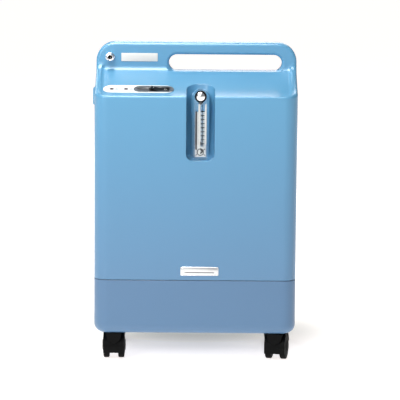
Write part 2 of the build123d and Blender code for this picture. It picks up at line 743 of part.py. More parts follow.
def intake_filter():
    """The foam filter that fills the recess behind the door."""
    y1 = REAR - FILTER_DEPTH
    part = block(FILTER_X0 + 4, FILTER_X1 - 4, y1 + 1, y1 + 17, FILTER_Z0 + 4, FILTER_Z1 - 4)
    return fillet(part.edges().filter_by(Axis.Y), 6)


def humidifier_platform():
    """The tray on the floor of the bay, with a round seat for the bottle."""
    x0 = -BODY_W / 2 + 4
    x1 = BAY_X - 0.4
    y0 = BAY_Y + 0.4
    y1 = REAR - 3
    part = block(x0, x1, y0, y1, BAY_Z, BAY_Z + 14)
    upright = part.edges().filter_by(Axis.Z)
    part = fillet(upright, BAY_R - 0.4)
    cx = (x0 + x1) / 2
    cy = (y0 + y1) / 2
    part -= post(cx, cy, BAY_Z + 3, BAY_Z + 20, BOTTLE_R)
    return part


def strap_route():
    """Centre line of the strap: along the side, round the bottle's place, onto the rear face."""
    side_x = -BODY_W / 2 - 0.3 - STRAP_T / 2
    rear_y = REAR + 0.3 + STRAP_T / 2
    start = (side_x, FRONT + 90)
    bend = (side_x, rear_y - STRAP_R)
    leave = (side_x + STRAP_R, rear_y)
    middle = (side_x + STRAP_R * (1 - cos(pi / 4)), rear_y - STRAP_R * (1 - sin(pi / 4)))
    return start, bend, middle, leave, (BAY_X + 24, rear_y)


def humidifier_strap():
    """A flat webbing strap that stands on edge."""
    start, bend, middle, leave, end = strap_route()
    low = STRAP_Z - STRAP_W / 2
    with BuildPart() as made:
        with BuildLine() as route:
            Line((*start, low), (*bend, low))
            ThreePointArc((*bend, low), (*middle, low), (*leave, low))
            Line((*leave, low), (*end, low))
        with BuildSketch(Plane((*start, low), x_dir=(1, 0, 0), z_dir=(0, 1, 0))):
            Rectangle(STRAP_T, STRAP_W, align=(Align.CENTER, Align.MAX))
        sweep(path=route.line)
    return made.part


def strap_brackets():
    """The anchor and the clip that hold the two ends of the strap."""
    return Compound(children=[strap_anchor(), strap_clip()])


def strap_anchor():
    """The moulded loop on the left side that holds the end of the strap."""
    x0 = -BODY_W / 2 - ANCHOR_PROUD
    y0 = FRONT + 86
    y1 = FRONT + 110
    half = STRAP_W / 2 + 3.5
    part = block(x0, -BODY_W / 2, y0, y1, STRAP_Z - half, STRAP_Z + half)
    front_edges = [e for e in part.edges() if abs((e @ 0.5).X - x0) < 0.01]
    part = fillet(front_edges, 3.0)
    return part - block(-BODY_W / 2 - STRAP_T - 0.7, -BODY_W / 2 + 1, y0 + 3, y1 + 1,
                        STRAP_Z - STRAP_W / 2 - 0.4, STRAP_Z + STRAP_W / 2 + 0.4)


def strap_clip():
    """The flat clip on the rear face that holds the other end of the strap."""
    x0 = BAY_X + 5
    x1 = BAY_X + 26
    part = block(x0, x1, REAR, REAR + 3.6, STRAP_Z - STRAP_W / 2 - 3, STRAP_Z + STRAP_W / 2 + 3)
    part = fillet(part.edges().filter_by(Axis.Y), 2)
    return part - block(x0 - 1, x1 - 2, REAR - 1, REAR + 2.4, STRAP_Z - STRAP_W / 2 - 0.4,
                        STRAP_Z + STRAP_W / 2 + 0.4)


def exhaust_grille():
    """The slatted grille in the rear of the tray."""
    half_w = EXHAUST_W / 2
    half_h = EXHAUST_H / 2
    part = block(EXHAUST_X - half_w + 0.2, EXHAUST_X + half_w - 0.2, REAR - 3, REAR,
                 EXHAUST_Z - half_h + 0.2, EXHAUST_Z + half_h - 0.2)
    for step in range(8):
        z = EXHAUST_Z - half_h + 5 + step * 7.9
        part -= stadium_y(EXHAUST_X - half_w + 5, EXHAUST_X + half_w - 5, REAR - 4, REAR + 1,
                          z, z + 4.5)
    return part


def power_cord_gland():
    """The strain-relief gland that the mains lead would enter, a stepped bush with a bore."""
    inner = REAR - GLAND_POCKET_D - WALL
    part = rod_y(GLAND_X, inner - 8, inner, GLAND_Z, GLAND_R)
    part += rod_y(GLAND_X, inner, inner + WALL, GLAND_Z, GLAND_R - 2.05)
    part += rod_y(GLAND_X, inner + WALL, REAR - 2, GLAND_Z, GLAND_R - 0.5)
    return part - rod_y(GLAND_X, inner - 9, REAR, GLAND_Z, GLAND_BORE_R)


# ---- casters ----
def caster_frame(name):
    """Where a caster stands: its swivel axis, turned so that its wheels trail."""
    x, y, turn = CASTERS[name]
    return Pos(x, y, 0) * Rot(0, 0, turn)


def caster_hood(name):
    """The hood: arches over both wheels, a web between them and a pointed prow round the stem."""
    width = WHEEL_GAP + 2 * WHEEL_W - 2 * WHEEL_BULGE
    inner_r = HOOD_R - HOOD_T
    top_z = WHEEL_R + HOOD_R
    part = rod_x(-width / 2, width / 2, TRAIL, WHEEL_R, HOOD_R)
    prow = Polygon((-PROW_W / 2, top_z), (-PROW_W / 2 + 3, PROW_Z + 8), (0, PROW_Z),
                   (PROW_W / 2 - 3, PROW_Z + 8), (PROW_W / 2, top_z), align=None)
    part += Pos(0, TRAIL, 0) * Rot(90, 0, 0) * extrude(prow, TRAIL + PROW_REACH)
    part += post(0, 0, PROW_Z + 4, top_z, PROW_REACH)
    web_half = WHEEL_GAP / 2 - 1.0
    for side in (-1, 1):
        x0, x1 = sorted((side * web_half, side * width))
        part -= rod_x(x0, x1, TRAIL, WHEEL_R, inner_r)
    rear_z = WHEEL_R + HOOD_R * sin(radians(HOOD_REAR_DEG))
    part -= block(-width, width, TRAIL + AXLE_R + 4, TRAIL + 2 * HOOD_R, -HOOD_R, rear_z)
    part -= block(-width, width, TRAIL - 2 * HOOD_R, TRAIL + 2 * HOOD_R, -HOOD_R, HOOD_FRONT_Z)
    part -= post(0, 0, HOOD_FRONT_Z, UNDERSIDE_Z, STEM_R)
    part -= rod_x(-width, width, TRAIL, WHEEL_R, AXLE_R)
    return caster_frame(name) * part


def caster_stem_and_axle(name):
    """The stem with its collar, and the axle pin that both wheels run on."""
    stem = post(0, 0, HOOD_FRONT_Z + 2, STEM_TOP, STEM_R)
    stem = chamfer(stem.edges().filter_by(GeomType.CIRCLE).sort_by(Axis.Z)[-1], 1.5)
    stem -= rod_x(-WHEEL_GAP, WHEEL_GAP, TRAIL, WHEEL_R, AXLE_R + 1)
    stem += post(0, 0, UNDERSIDE_Z - 2.3, UNDERSIDE_Z - 0.4, 8.5)
    reach = WHEEL_GAP / 2 + WHEEL_W - 4
    axle = rod_x(-reach, reach, TRAIL, WHEEL_R, AXLE_R)
    return caster_frame(name) * Compound(children=[stem, axle])


def caster_wheel(name, side):
    """One wheel: a rounded tread, a bulging outer face and a blind bore on the axle."""
    inner = WHEEL_GAP / 2 + 0.2
    outer = WHEEL_GAP / 2 + WHEEL_W
    face_r = WHEEL_R - 4
    ball_r = (face_r ** 2 + WHEEL_BULGE ** 2) / (2 * WHEEL_BULGE)
    x0, x1 = sorted((side * inner, side * (outer - WHEEL_BULGE)))
    wheel = rod_x(x0, x1, TRAIL, WHEEL_R, WHEEL_R)
    wheel = fillet(wheel.edges().filter_by(GeomType.CIRCLE), 2.5)
    cap0, cap1 = sorted((side * (outer - 2 * WHEEL_BULGE), side * (outer + 1)))
    ball = Pos(side * (outer - ball_r), TRAIL, WHEEL_R) * Sphere(ball_r)
    wheel += ball & rod_x(cap0, cap1, TRAIL, WHEEL_R, face_r)
    bore0, bore1 = sorted((side * (inner - 1), side * (outer - 3.5)))
    wheel -= rod_x(bore0, bore1, TRAIL, WHEEL_R, AXLE_R + RUN_CLEAR)
    return caster_frame(name) * wheel


# ---- inner works ----
def spring_places():
    return [(x, MOTOR_Y + dy) for x in (-62, 62) for dy in (-34, 34)]


def compressor_motor():
    """The motor barrel, with cooling ribs round it."""
    part = rod_x(-MOTOR_L / 2, MOTOR_L / 2, MOTOR_Y, MOTOR_Z, MOTOR_R - 4)
    for step in range(7):
        x = -MOTOR_L / 2 + 6 + step * 12
        part += rod_x(x - 1.5, x + 1.5, MOTOR_Y, MOTOR_Z, MOTOR_R)
    return part


def compressor_crankcase():
    """Two crankcases, one at each end of the motor, with a cylinder standing on each."""
    cases = []
    for side in (-1, 1):
        x0, x1 = sorted((side * MOTOR_L / 2, side * (MOTOR_L / 2 + CRANK_L)))
        case = rod_x(x0, x1, MOTOR_Y, MOTOR_Z, CRANK_R)
        case += post((x0 + x1) / 2, MOTOR_Y, MOTOR_Z, MOTOR_Z + CRANK_R + 24, 17)
        cases.append(case)
    return Compound(children=cases)


def compressor_heads():
    """A finned head on each cylinder."""
    heads = []
    z0 = MOTOR_Z + CRANK_R + 24
    for side in (-1, 1):
        x = side * (MOTOR_L / 2 + CRANK_L / 2)
        half = HEAD_SIZE / 2
        head = block(x - half, x + half, MOTOR_Y - half, MOTOR_Y + half, z0, z0 + 22)
        for step in range(6):
            y = MOTOR_Y - half + 6 + step * 9.5
            head -= block(x - half - 1, x + half + 1, y, y + 4, z0 + 8, z0 + 23)
        heads.append(head)
    return Compound(children=heads)


def compressor_cradle():
    """The bent steel plate that carries the compressor on its springs."""
    part = block(-78, 78, MOTOR_Y - 44, MOTOR_Y + 44, CRADLE_Z, CRADLE_Z + 2.5)
    for side in (-1, 1):
        x0, x1 = sorted((side * 60, side * 75))
        part += block(x0, x1, MOTOR_Y - 40, MOTOR_Y + 40, CRADLE_Z, MOTOR_Z - 20)
    part -= rod_x(-90, 90, MOTOR_Y, MOTOR_Z, CRANK_R)
    return part


def isolation_springs():
    """Four coil springs, each drawn as a stack of closed turns."""
    springs = []
    z0 = UNDERSIDE_Z + WALL
    for x, y in spring_places():
        turns = [Pos(x, y, z0 + 2 + n * 4.1) * Torus(8.5, 1.5) for n in range(8)]
        springs.extend(turns)
    return Compound(children=springs)


def cooling_fan_frame():
    """The square fan frame with its hub and four struts."""
    half = FAN_SIZE / 2
    part = block(EXHAUST_X - half, EXHAUST_X + half, FAN_Y0, FAN_Y1,
                 EXHAUST_Z - half, EXHAUST_Z + half)
    part = fillet(part.edges().filter_by(Axis.Y), 4)
    part -= rod_y(EXHAUST_X, FAN_Y0 - 1, FAN_Y1 + 1, EXHAUST_Z, FAN_HOLE_R)
    part += rod_y(EXHAUST_X, FAN_Y1 - 3, FAN_Y1, EXHAUST_Z, 15)
    for turn in (45, 135):
        strut = Rot(0, turn, 0) * Box(2 * FAN_HOLE_R + 2, 3, 4)
        part += Pos(EXHAUST_X, FAN_Y1 - 1.5, EXHAUST_Z) * strut
    part += rod_y(EXHAUST_X, FAN_Y0 + 5, FAN_Y1 - 1, EXHAUST_Z, 2.0)
    return part


def cooling_fan_rotor():
    """The hub and seven pitched blades that turn on the frame's pin."""
    y0 = FAN_Y0 + 2
    y1 = FAN_Y1 - 4
    part = rod_y(EXHAUST_X, y0, y1, EXHAUST_Z, 14)
    for step in range(7):
        blade = Pos(23.5, 0, 0) * Rot(38, 0, 0) * Box(23, 1.6, 17)
        blade = Pos(EXHAUST_X, (y0 + y1) / 2, EXHAUST_Z) * Rot(0, 360 / 7 * step, 0) * blade
        part += blade
    part -= rod_y(EXHAUST_X, FAN_Y0 + 4.5, y1 + 1, EXHAUST_Z, 2.0 + RUN_CLEAR)
    return part


def heat_exchanger_coil():
    """The aluminium tube that snakes to and fro beside the fan."""
    x0, x1 = 60.0, 165.0
    y = FAN_Y0 - 20
    z = 178.0
    pitch = 22.0
    points = []
    for row in range(3):
        near, far = (x0, x1) if row % 2 == 0 else (x1, x0)
        points.append((near, y, z + row * pitch))
        points.append((far, y, z + row * pitch))
    points[0] = (x0 + 30, y, z)
    return hose(points, COIL_TUBE_R, pitch / 2 - 0.5)


def sieve_bed(x):
    """A tall canister with a cap at each end."""
    part = post(x, BED_Y, BED_Z0 + 6, BED_Z1 - 6, BED_R - 2)
    for z in (BED_Z0, BED_Z1 - 14):
        part += post(x, BED_Y, z, z + 14, BED_R)
    return part


def product_tank():
    part = post(TANK_X, BED_Y - 3, 150, 340, TANK_R)
    return fillet(part.edges().filter_by(GeomType.CIRCLE), 12)


def tank_bracket():
    """The post and saddle that hold the product tank off the floor of the tray."""
    y = BED_Y - 3
    part = block(TANK_X - 24, TANK_X + 24, y - 20, y + 20, UNDERSIDE_Z + WALL, 62)
    part += block(TANK_X - 5, TANK_X + 5, y - 15, y + 15, 60, 149)
    return part + post(TANK_X, y, 145, 150, 26)


def bed_bracket():
    """The plate and legs under the two sieve beds."""
    xs = BEDS
    part = block(xs[0] - 12, xs[1] + 30, BED_Y - 20, BED_Y + 28, BED_Z0 - 3, BED_Z0)
    for x in (xs[0] + 42, xs[1] + 26):
        part += block(x - 3, x + 3, BED_Y - 14, BED_Y + 14, UNDERSIDE_Z + WALL, BED_Z0 - 1)
    return part


def valve_manifold():
    """The drilled block on top of the beds."""
    xs = BEDS
    return block(xs[0] - 20, xs[1] + 20, BED_Y - 22, BED_Y + 22, BED_Z1, BED_Z1 + 26)


def solenoid_valves():
    """Four valves in a row on the manifold, each a coil with a cap."""
    xs = BEDS
    valves = []
    for step in range(4):
        x = xs[0] - 2 + step * (xs[1] - xs[0] + 4) / 3
        coil = post(x, BED_Y, BED_Z1 + 26, BED_Z1 + 54, 11) + post(x, BED_Y, BED_Z1 + 54, BED_Z1 + 62, 6)
        valves.append(coil)
    return Compound(children=valves)


def exhaust_muffler():
    part = post(150, -62, 210, 300, 22)
    return part + post(150, -62, 300, 318, 5) + post(150, -62, 196, 210, 5)


def intake_silencer():
    """The resonator box between the filter recess and the compressor."""
    mid_x = (FILTER_X0 + FILTER_X1) / 2
    mid_z = (FILTER_Z0 + FILTER_Z1) / 2
    inner = REAR - FILTER_DEPTH - FILTER_WALL
    part = block(mid_x - 40, mid_x + 40, 22, 68, mid_z - 42, mid_z + 42)
    part = fillet(part.edges().filter_by(Axis.Y), 8)
    return part + rod_y(mid_x, 67, inner, mid_z, 20)


def regulator_and_product_filter():
    """The pressure regulator, and the filter capsule in the line to the outlet."""
    regulator = post(120, -52, 410, 440, 17) + post(120, -52, 440, 456, 7)
    regulator += rod_y(120, -80, -52, 422, 5)
    capsule = rod_x(-40, -22, -10, 470, 22) + rod_x(-52, -10, -10, 470, 4)
    return Compound(children=[regulator, capsule])


def control_board():
    """The board and the taller parts on it."""
    sizes = [
        (-36, 4, 250, 300, 22), (14, 44, 246, 276, 16), (-30, -8, 320, 350, 12),
        (2, 30, 310, 350, 9), (40, 64, 300, 330, 18), (-34, -4, 372, 404, 10), (10, 50, 376, 400, 7),
    ]
    parts = [block(170 - h, 170, y0, y1, z0, z1) for y0, y1, z0, z1, h in sizes]
    return Compound(children=[block(170, 171.6, -46, 74, 230, 420)] + parts)


def motor_capacitor():
    part = rod_x(-170, -98, 62, CAPACITOR_Z, CAPACITOR_R)
    return fillet(part.edges().filter_by(GeomType.CIRCLE), 2)


def capacitor_bracket():
    """The foot and the cradle under the motor's capacitor."""
    part = block(-138, -104, 44, 80, UNDERSIDE_Z + WALL, 62)
    part += block(-128, -114, 50, 74, 60, CAPACITOR_Z - 8)
    return part - rod_x(-180, -90, 62, CAPACITOR_Z, CAPACITOR_R)


def inner_brackets():
    return Compound(children=[tank_bracket(), bed_bracket(), capacitor_bracket()])


def sieve_beds():
    return Compound(children=[sieve_bed(x) for x in BEDS])


def hose_routes():
    """The corners of each hose between the pneumatic parts."""
    head_z = MOTOR_Z + CRANK_R + 46
    head_x = MOTOR_L / 2 + CRANK_L / 2
    rear_port = FRONT + NIPPLE_END_D
    low_z, high_z = PORT_ZS
    silencer_z = (FILTER_Z0 + FILTER_Z1) / 2 - 42
    return [
        [(head_x, MOTOR_Y, head_z), (head_x, MOTOR_Y, silencer_z)],
        [(-head_x, MOTOR_Y, head_z), (-head_x, MOTOR_Y, 330), (-head_x, BED_Y + 40, 330),
         (-head_x, BED_Y + 40, BED_Z1 + 13), (-head_x, BED_Y + 22, BED_Z1 + 13)],
        [(METER_X, rear_port, low_z), (METER_X, -20, low_z), (120, -20, low_z),
         (120, -20, 422), (120, -35, 422)],
        [(METER_X, rear_port, high_z), (METER_X, -10, high_z), (METER_X, -10, 470),
         (-10, -10, 470)],
        [(-52, -10, 470), (OUTLET_X, -10, 470), (OUTLET_X, 4, 470), (OUTLET_X, 4, OUTLET_Z)],
    ]


def air_tubing():
    """One solid for each hose."""
    made = []
    for points in hose_routes():
        if len(points) == 2:
            start, end = points
            made.append(post(start[0], start[1], start[2], end[2], HOSE_R))
            continue
        made.append(hose(points, HOSE_R - 0.5, HOSE_BEND))
    return Compound(children=made)


def sound_foam():
    """Foam sheets inside the two side walls and the front."""
    inner_x = BODY_W / 2 - WALL
    sheets = [
        block(-inner_x, -inner_x + 6, -60, 20, 190, 400),
        block(inner_x - 6, inner_x, -60, 60, 190, 224),
        block(-150, -30, FRONT + WALL, FRONT + WALL + 5, 190, 370),
        block(45, 150, FRONT + WALL, FRONT + WALL + 5, 190, 370),
    ]
    return Compound(children=sheets)


def write(name, shape):
    export_step(shape, os.path.join("parts", name + ".step"))


def main():
    os.makedirs("parts", exist_ok=True)
    shell = housing_shell()
    write("front_cover", front_cover(shell))
    write("rear_housing", rear_housing(shell))
    write("base_tray", base_tray(shell))
    for make in (cover_screws, control_panel, indicator_lenses, switch_bezel,
                 power_switch_rocker, power_switch_body, flowmeter_body, flowmeter_float,
                 flowmeter_knob, flowmeter_knob_cap, pneumatic_fittings,
                 oxygen_outlet_fitting, name_plate, badge_plate, filter_door,
                 intake_filter, humidifier_platform, humidifier_strap, strap_brackets,
                 exhaust_grille, power_cord_gland, compressor_motor,
                 compressor_crankcase, compressor_heads, compressor_cradle,
                 isolation_springs, cooling_fan_frame, cooling_fan_rotor,
                 heat_exchanger_coil, sieve_beds, product_tank, inner_brackets,
                 valve_manifold, solenoid_valves, exhaust_muffler, intake_silencer,
                 regulator_and_product_filter, control_board, motor_capacitor,
                 air_tubing, sound_foam):
        write(make.__name__, make())
    for name in CASTERS:
        write("caster_" + name + "_hood", caster_hood(name))
        write("caster_" + name + "_stem_and_axle", caster_stem_and_axle(name))
        for side, label in ((-1, "left"), (1, "right")):
            write("caster_" + name + "_wheel_" + label, caster_wheel(name, side))


main()
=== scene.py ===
"""Looks of a bedside oxygen concentrator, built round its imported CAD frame. Metres, +Z up, front along -Y."""

import json
from math import cos, pi, radians, sin

import bmesh
import bpy
from mathutils import Matrix, Vector
from mathutils.bvhtree import BVHTree


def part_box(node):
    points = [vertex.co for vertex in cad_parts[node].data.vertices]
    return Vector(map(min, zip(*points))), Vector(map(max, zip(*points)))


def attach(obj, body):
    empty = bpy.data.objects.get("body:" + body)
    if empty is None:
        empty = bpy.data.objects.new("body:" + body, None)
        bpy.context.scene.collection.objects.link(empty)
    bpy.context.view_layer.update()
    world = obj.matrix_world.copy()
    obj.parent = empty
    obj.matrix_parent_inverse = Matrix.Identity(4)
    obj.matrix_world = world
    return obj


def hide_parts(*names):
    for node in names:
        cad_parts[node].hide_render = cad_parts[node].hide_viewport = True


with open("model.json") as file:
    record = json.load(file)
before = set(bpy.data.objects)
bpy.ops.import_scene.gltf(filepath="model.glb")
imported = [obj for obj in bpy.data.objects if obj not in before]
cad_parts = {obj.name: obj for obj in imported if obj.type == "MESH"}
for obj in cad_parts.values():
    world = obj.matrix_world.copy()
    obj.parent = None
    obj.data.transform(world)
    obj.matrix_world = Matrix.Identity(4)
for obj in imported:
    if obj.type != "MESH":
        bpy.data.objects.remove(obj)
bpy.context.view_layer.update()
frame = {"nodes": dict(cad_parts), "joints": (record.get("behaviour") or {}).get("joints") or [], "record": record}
NODES = frame["nodes"]
MM = 0.001


# ---- camera, floor and light ----
LOOK_AT = Vector((0.0086, -0.120, 0.3090))
CAMERA_DISTANCE = 4.5
CAMERA_PITCH = radians(8.5)
CAMERA_ROLL = radians(0.45)
CAMERA_LENS = 218.0
SKY_STRENGTH = 0.28
WHITE = (1.0, 1.0, 1.0)
COOL = (0.9, 1.0, 0.98)
WARM = (1.0, 0.99, 0.95)
AIM_LOW = (0, 0, 0.3)
AIM_MIDDLE = (0, 0, 0.4)
AIM_DECK = (0, 0, 0.5)

# The floor glows by up to FLOOR_GLOW. The glow rises from nothing to its full strength between the two distances
# below, both counted from the middle of a painted soft shadow behind the object, in a space scaled and shifted as
# below. Where the glow is low, the floor is darker: a painted shadow.
FLOOR_REACH = 30.0
FLOOR_GLOW = 0.84
PAINTED_SHADOW_SCALE = (3.8, 5.0, 5.0)
PAINTED_SHADOW_SHIFT = (0, -1.1, 0)
PAINTED_SHADOW_CORE = 0.3
PAINTED_SHADOW_EDGE = 1.5


def add_camera():
    """A long lens from the front, a little above the object and rolled by a hair."""
    camera = bpy.data.objects.new("camera", bpy.data.cameras.new("camera"))
    camera.data.lens = CAMERA_LENS
    camera.data.clip_end = 2 * FLOOR_REACH
    back = Vector((0, -cos(CAMERA_PITCH), sin(CAMERA_PITCH)))
    turn = Matrix.Rotation(pi / 2 - CAMERA_PITCH, 4, "X") @ Matrix.Rotation(CAMERA_ROLL, 4, "Z")
    camera.matrix_world = Matrix.Translation(LOOK_AT + CAMERA_DISTANCE * back) @ turn
    bpy.context.scene.collection.objects.link(camera)
    bpy.context.scene.camera = camera


def add_light(name, place, size, power, colour=WHITE, aim=AIM_LOW, gloss_only=False):
    """A soft square light turned towards a point. A gloss_only light shows in reflections alone."""
    light = bpy.data.objects.new(name, bpy.data.lights.new(name, "AREA"))
    light.data.size = size
    light.data.energy = power
    light.data.color = colour
    light.visible_diffuse = not gloss_only
    light.location = place
    light.rotation_euler = (Vector(aim) - Vector(place)).to_track_quat("-Z", "Y").to_euler()
    bpy.context.scene.collection.objects.link(light)


def add_studio():
    """A dim even sky, soft lights round the object, and two large ones behind it."""
    world = bpy.data.worlds.new("studio")
    world.use_nodes = True
    sky = world.node_tree.nodes["Background"]
    sky.inputs["Color"].default_value = (1, 1, 1, 1)
    sky.inputs["Strength"].default_value = SKY_STRENGTH
    bpy.context.scene.world = world
    add_light("key_left", place=(-1.0, -1.7, 0.95), size=0.7, power=11)
    add_light("front_fill", place=(-0.3, -3.0, 1.4), size=0.6, power=9, aim=AIM_MIDDLE)
    add_light("top_front", place=(-0.4, -0.8, 1.42), size=0.9, power=7, colour=COOL, aim=AIM_DECK)
    add_light("overhead", place=(-0.4, -0.34, 1.85), size=0.9, power=22, colour=WARM, aim=AIM_DECK)
    add_light("back_left", place=(-2.2, 2.6, 2.4), size=1.6, power=30)
    add_light("back_panel", place=(0.35, 3.0, 2.0), size=1.6, power=45, aim=AIM_DECK)
    add_light("gloss_top", place=(-0.3, -0.60, 1.65), size=1.0, power=44, aim=AIM_DECK, gloss_only=True)
    bpy.context.scene.view_settings.view_transform = "Standard"


def add_floor():
    """Pale paper that glows a little, as a lit studio sweep does, so that its shadows stay soft; the glow fades
    out round a spot behind the object, which paints a soft shadow there.
    """
    mesh = bpy.data.meshes.new("floor")
    corners = [(-1, -1, 0), (1, -1, 0), (1, 1, 0), (-1, 1, 0)]
    mesh.from_pydata([FLOOR_REACH * Vector(c) for c in corners], [], [(0, 1, 2, 3)])
    floor = bpy.data.objects.new("floor", mesh)
    paper, tree, shader = start("floor_paper", roughness=0.9, emission_color=(1.0, 0.94, 0.93, 1))
    place = node(tree, "TexCoord").outputs["Object"]
    # Painted shadow: the glow, and so the floor's brightness, drops round a spot behind the object.
    offset = node(tree, "Mapping", {"Vector": place, "Location": PAINTED_SHADOW_SHIFT, "Scale": PAINTED_SHADOW_SCALE})
    distance = node(tree, "VectorMath", {0: offset.outputs["Vector"]}, operation="LENGTH").outputs["Value"]
    painted_shadow_glow = node(tree, "MapRange", {"Value": distance, "From Min": PAINTED_SHADOW_CORE, "From Max": PAINTED_SHADOW_EDGE,
                                   "To Min": 0.0, "To Max": FLOOR_GLOW}, interpolation_type="SMOOTHSTEP")
    tree.links.new(painted_shadow_glow.outputs["Result"], shader.inputs["Emission Strength"])
    fibres = remap(tree, noise(tree, 4 * MM, 3.0), 0.3, 0.7, 0.0, 1.0)
    tree.links.new(mix(tree, fibres, linear((221, 220, 214)), linear((228, 227, 221))),
                   shader.inputs["Base Color"])
    mesh.materials.append(paper)
    bpy.context.scene.collection.objects.link(floor)


# ---- materials ----
CLOUD_SIZE = 60 * MM
SCUFF_SIZE = 12 * MM
RUBBED_EDGE_R = 1.2 * MM
RUBBED_ROUGHER = 0.12
EDGE_SAMPLES = 4
EDGE_DOT_FLAT = 0.97
EDGE_DOT_SHARP = 0.80
# The housing's colour darkens between these two heights, from the top one down: painted shade.
PAINTED_SHADE_TOP_Z = 0.50
PAINTED_SHADE_BOTTOM_Z = 0.16
RIBS_SCALE = 260.0
THREADS_SCALE = 420.0
TRACKS_SCALE = 240.0


def linear(colour):
    """A colour given as sRGB 0 to 255, as the shader wants it."""
    return [((c / 255 + 0.055) / 1.055) ** 2.4 if c > 10 else c / 255 / 12.92 for c in colour] + [1.0]


def shade(colour, factor):
    """A linear colour made darker or lighter."""
    return [min(1.0, c * factor) for c in colour[:3]] + [1.0]


def node(tree, kind, inputs=(), **settings):
    """A shader node. An input is a value, or the output that feeds it."""
    made = tree.nodes.new("ShaderNode" + kind)
    for name, value in settings.items():
        setattr(made, name, value)
    for socket, value in dict(inputs).items():
        if isinstance(value, bpy.types.NodeSocket):
            tree.links.new(value, made.inputs[socket])
        else:
            made.inputs[socket].default_value = value
    return made


SOCKETS = {
    "base_color": "Base Color", "metallic": "Metallic", "roughness": "Roughness", "ior": "IOR",
    "specular_level": "Specular IOR Level", "transmission_weight": "Transmission Weight",
    "coat_weight": "Coat Weight", "sheen_weight": "Sheen Weight",
    "emission_color": "Emission Color", "emission_strength": "Emission Strength",
}


def start(name, **values):
    """A Principled material. Each value goes straight onto the shader's own socket."""
    made = bpy.data.materials.new(name)
    made.use_nodes = True
    shader = made.node_tree.nodes["Principled BSDF"]
    for socket, value in values.items():
        shader.inputs[SOCKETS[socket]].default_value = value
    return made, made.node_tree, shader


def object_place(tree, stretch=(1, 1, 1)):
    """The place on the object that a texture starts from."""
    place = node(tree, "TexCoord").outputs["Object"]
    return node(tree, "Mapping", {"Vector": place, "Scale": stretch}).outputs["Vector"]


def noise(tree, size, detail=2.0, stretch=(1, 1, 1)):
    """Noise whose grains are about size metres across."""
    inputs = {"Vector": object_place(tree, stretch), "Scale": 1 / size, "Detail": detail}
    return node(tree, "TexNoise", inputs).outputs["Fac"]


def remap(tree, value, low, high, to_low, to_high):
    """A value carried from one range to another, and held at its ends."""
    inputs = {"Value": value, "From Min": low, "From Max": high, "To Min": to_low, "To Max": to_high}
    return node(tree, "MapRange", inputs).outputs["Result"]


def combine(tree, operation, first, second):
    """The sum or product of two values."""
    return node(tree, "Math", {0: first, 1: second}, operation=operation).outputs[0]


def mix(tree, factor, first, second):
    """The first colour where the factor is 0, and the second where it is 1."""
    inputs = {0: factor, 6: first, 7: second}
    return node(tree, "Mix", inputs, data_type="RGBA").outputs[2]


def edge_mask(tree, radius):
    """White along sharp edges, where handling rubs the finish."""
    rounded = node(tree, "Bevel", {"Radius": radius}, samples=EDGE_SAMPLES).outputs["Normal"]
    flat = node(tree, "NewGeometry").outputs["Normal"]
    dot = node(tree, "VectorMath", {0: rounded, 1: flat}, operation="DOT_PRODUCT").outputs["Value"]
    return remap(tree, dot, EDGE_DOT_FLAT, EDGE_DOT_SHARP, 0.0, 1.0)


def bump(tree, height, distance, normal=None):
    """A normal pushed about by a height, by up to distance in metres."""
    inputs = {"Height": height, "Distance": distance}
    if normal is not None:
        inputs["Normal"] = normal
    return node(tree, "Bump", inputs).outputs["Normal"]


def surface(name, colour, rough, grain_size=0.0007, grain_depth=0.00002, tint=0.03, wear=0.0,
            stretch=(1, 1, 1), metal=0.0, edge_r=0.0005, rough_swing=0.04, painted_shade_colour=None, **values):
    """A solid finish with fine grain, cloudy colour and roughness, and edges rubbed by wear.

    Given a colour for the low part, the finish darkens to it from the deck down to the seam: painted shade for
    light that falls off lower down."""
    made, tree, shader = start(name, metallic=metal, **values)
    base = linear(colour)
    clouds = noise(tree, CLOUD_SIZE, 3.0)
    coloured = mix(tree, clouds, shade(base, 1 - tint), shade(base, 1 + tint))
    # Painted shade: the colour darkens towards the bottom, as if less light falls there.
    if painted_shade_colour:
        low = linear(painted_shade_colour)
        height = node(tree, "SeparateXYZ", {0: object_place(tree)}).outputs["Z"]
        painted_shade = mix(tree, clouds, shade(low, 1 - tint), shade(low, 1 + tint))
        coloured = mix(tree, remap(tree, height, PAINTED_SHADE_BOTTOM_Z, PAINTED_SHADE_TOP_Z, 0.0, 1.0), painted_shade, coloured)
    fine = noise(tree, grain_size, 2.0, stretch)
    rough_out = remap(tree, clouds, 0.3, 0.7, rough - rough_swing, rough + rough_swing)
    if wear:
        scuffs = remap(tree, noise(tree, SCUFF_SIZE, 4.0), 0.42, 0.62, 0.0, wear)
        rubbed = combine(tree, "MULTIPLY", edge_mask(tree, RUBBED_EDGE_R), scuffs)
        coloured = mix(tree, rubbed, coloured, shade(base, 1.5))
        rougher = combine(tree, "MULTIPLY", rubbed, RUBBED_ROUGHER)
        rough_out = combine(tree, "ADD", rough_out, rougher)
    tree.links.new(coloured, shader.inputs["Base Color"])
    tree.links.new(rough_out, shader.inputs["Roughness"])
    rounded = node(tree, "Bevel", {"Radius": edge_r}, samples=EDGE_SAMPLES).outputs["Normal"]
    tree.links.new(bump(tree, fine, grain_depth, rounded), shader.inputs["Normal"])
    return made


def clear(name, colour, rough, ior):
    """Clear moulded plastic, with faint flow marks, that lets the lamps shine through it."""
    made, tree, shader = start(name, base_color=linear(colour), transmission_weight=1.0, ior=ior)
    marks = noise(tree, 6 * MM, 2.0, (1, 1, 0.2))
    tree.links.new(remap(tree, marks, 0.3, 0.7, rough, rough + 0.03), shader.inputs["Roughness"])
    tree.links.new(bump(tree, marks, 0.00002), shader.inputs["Normal"])
    toward_lamp = node(tree, "LightPath").outputs["Is Shadow Ray"]
    unseen = node(tree, "BsdfTransparent", {"Color": linear(colour)}).outputs["BSDF"]
    blend = node(tree, "MixShader", {0: toward_lamp, 1: shader.outputs["BSDF"], 2: unseen})
    tree.links.new(blend.outputs["Shader"], tree.nodes["Material Output"].inputs["Surface"])
    return made


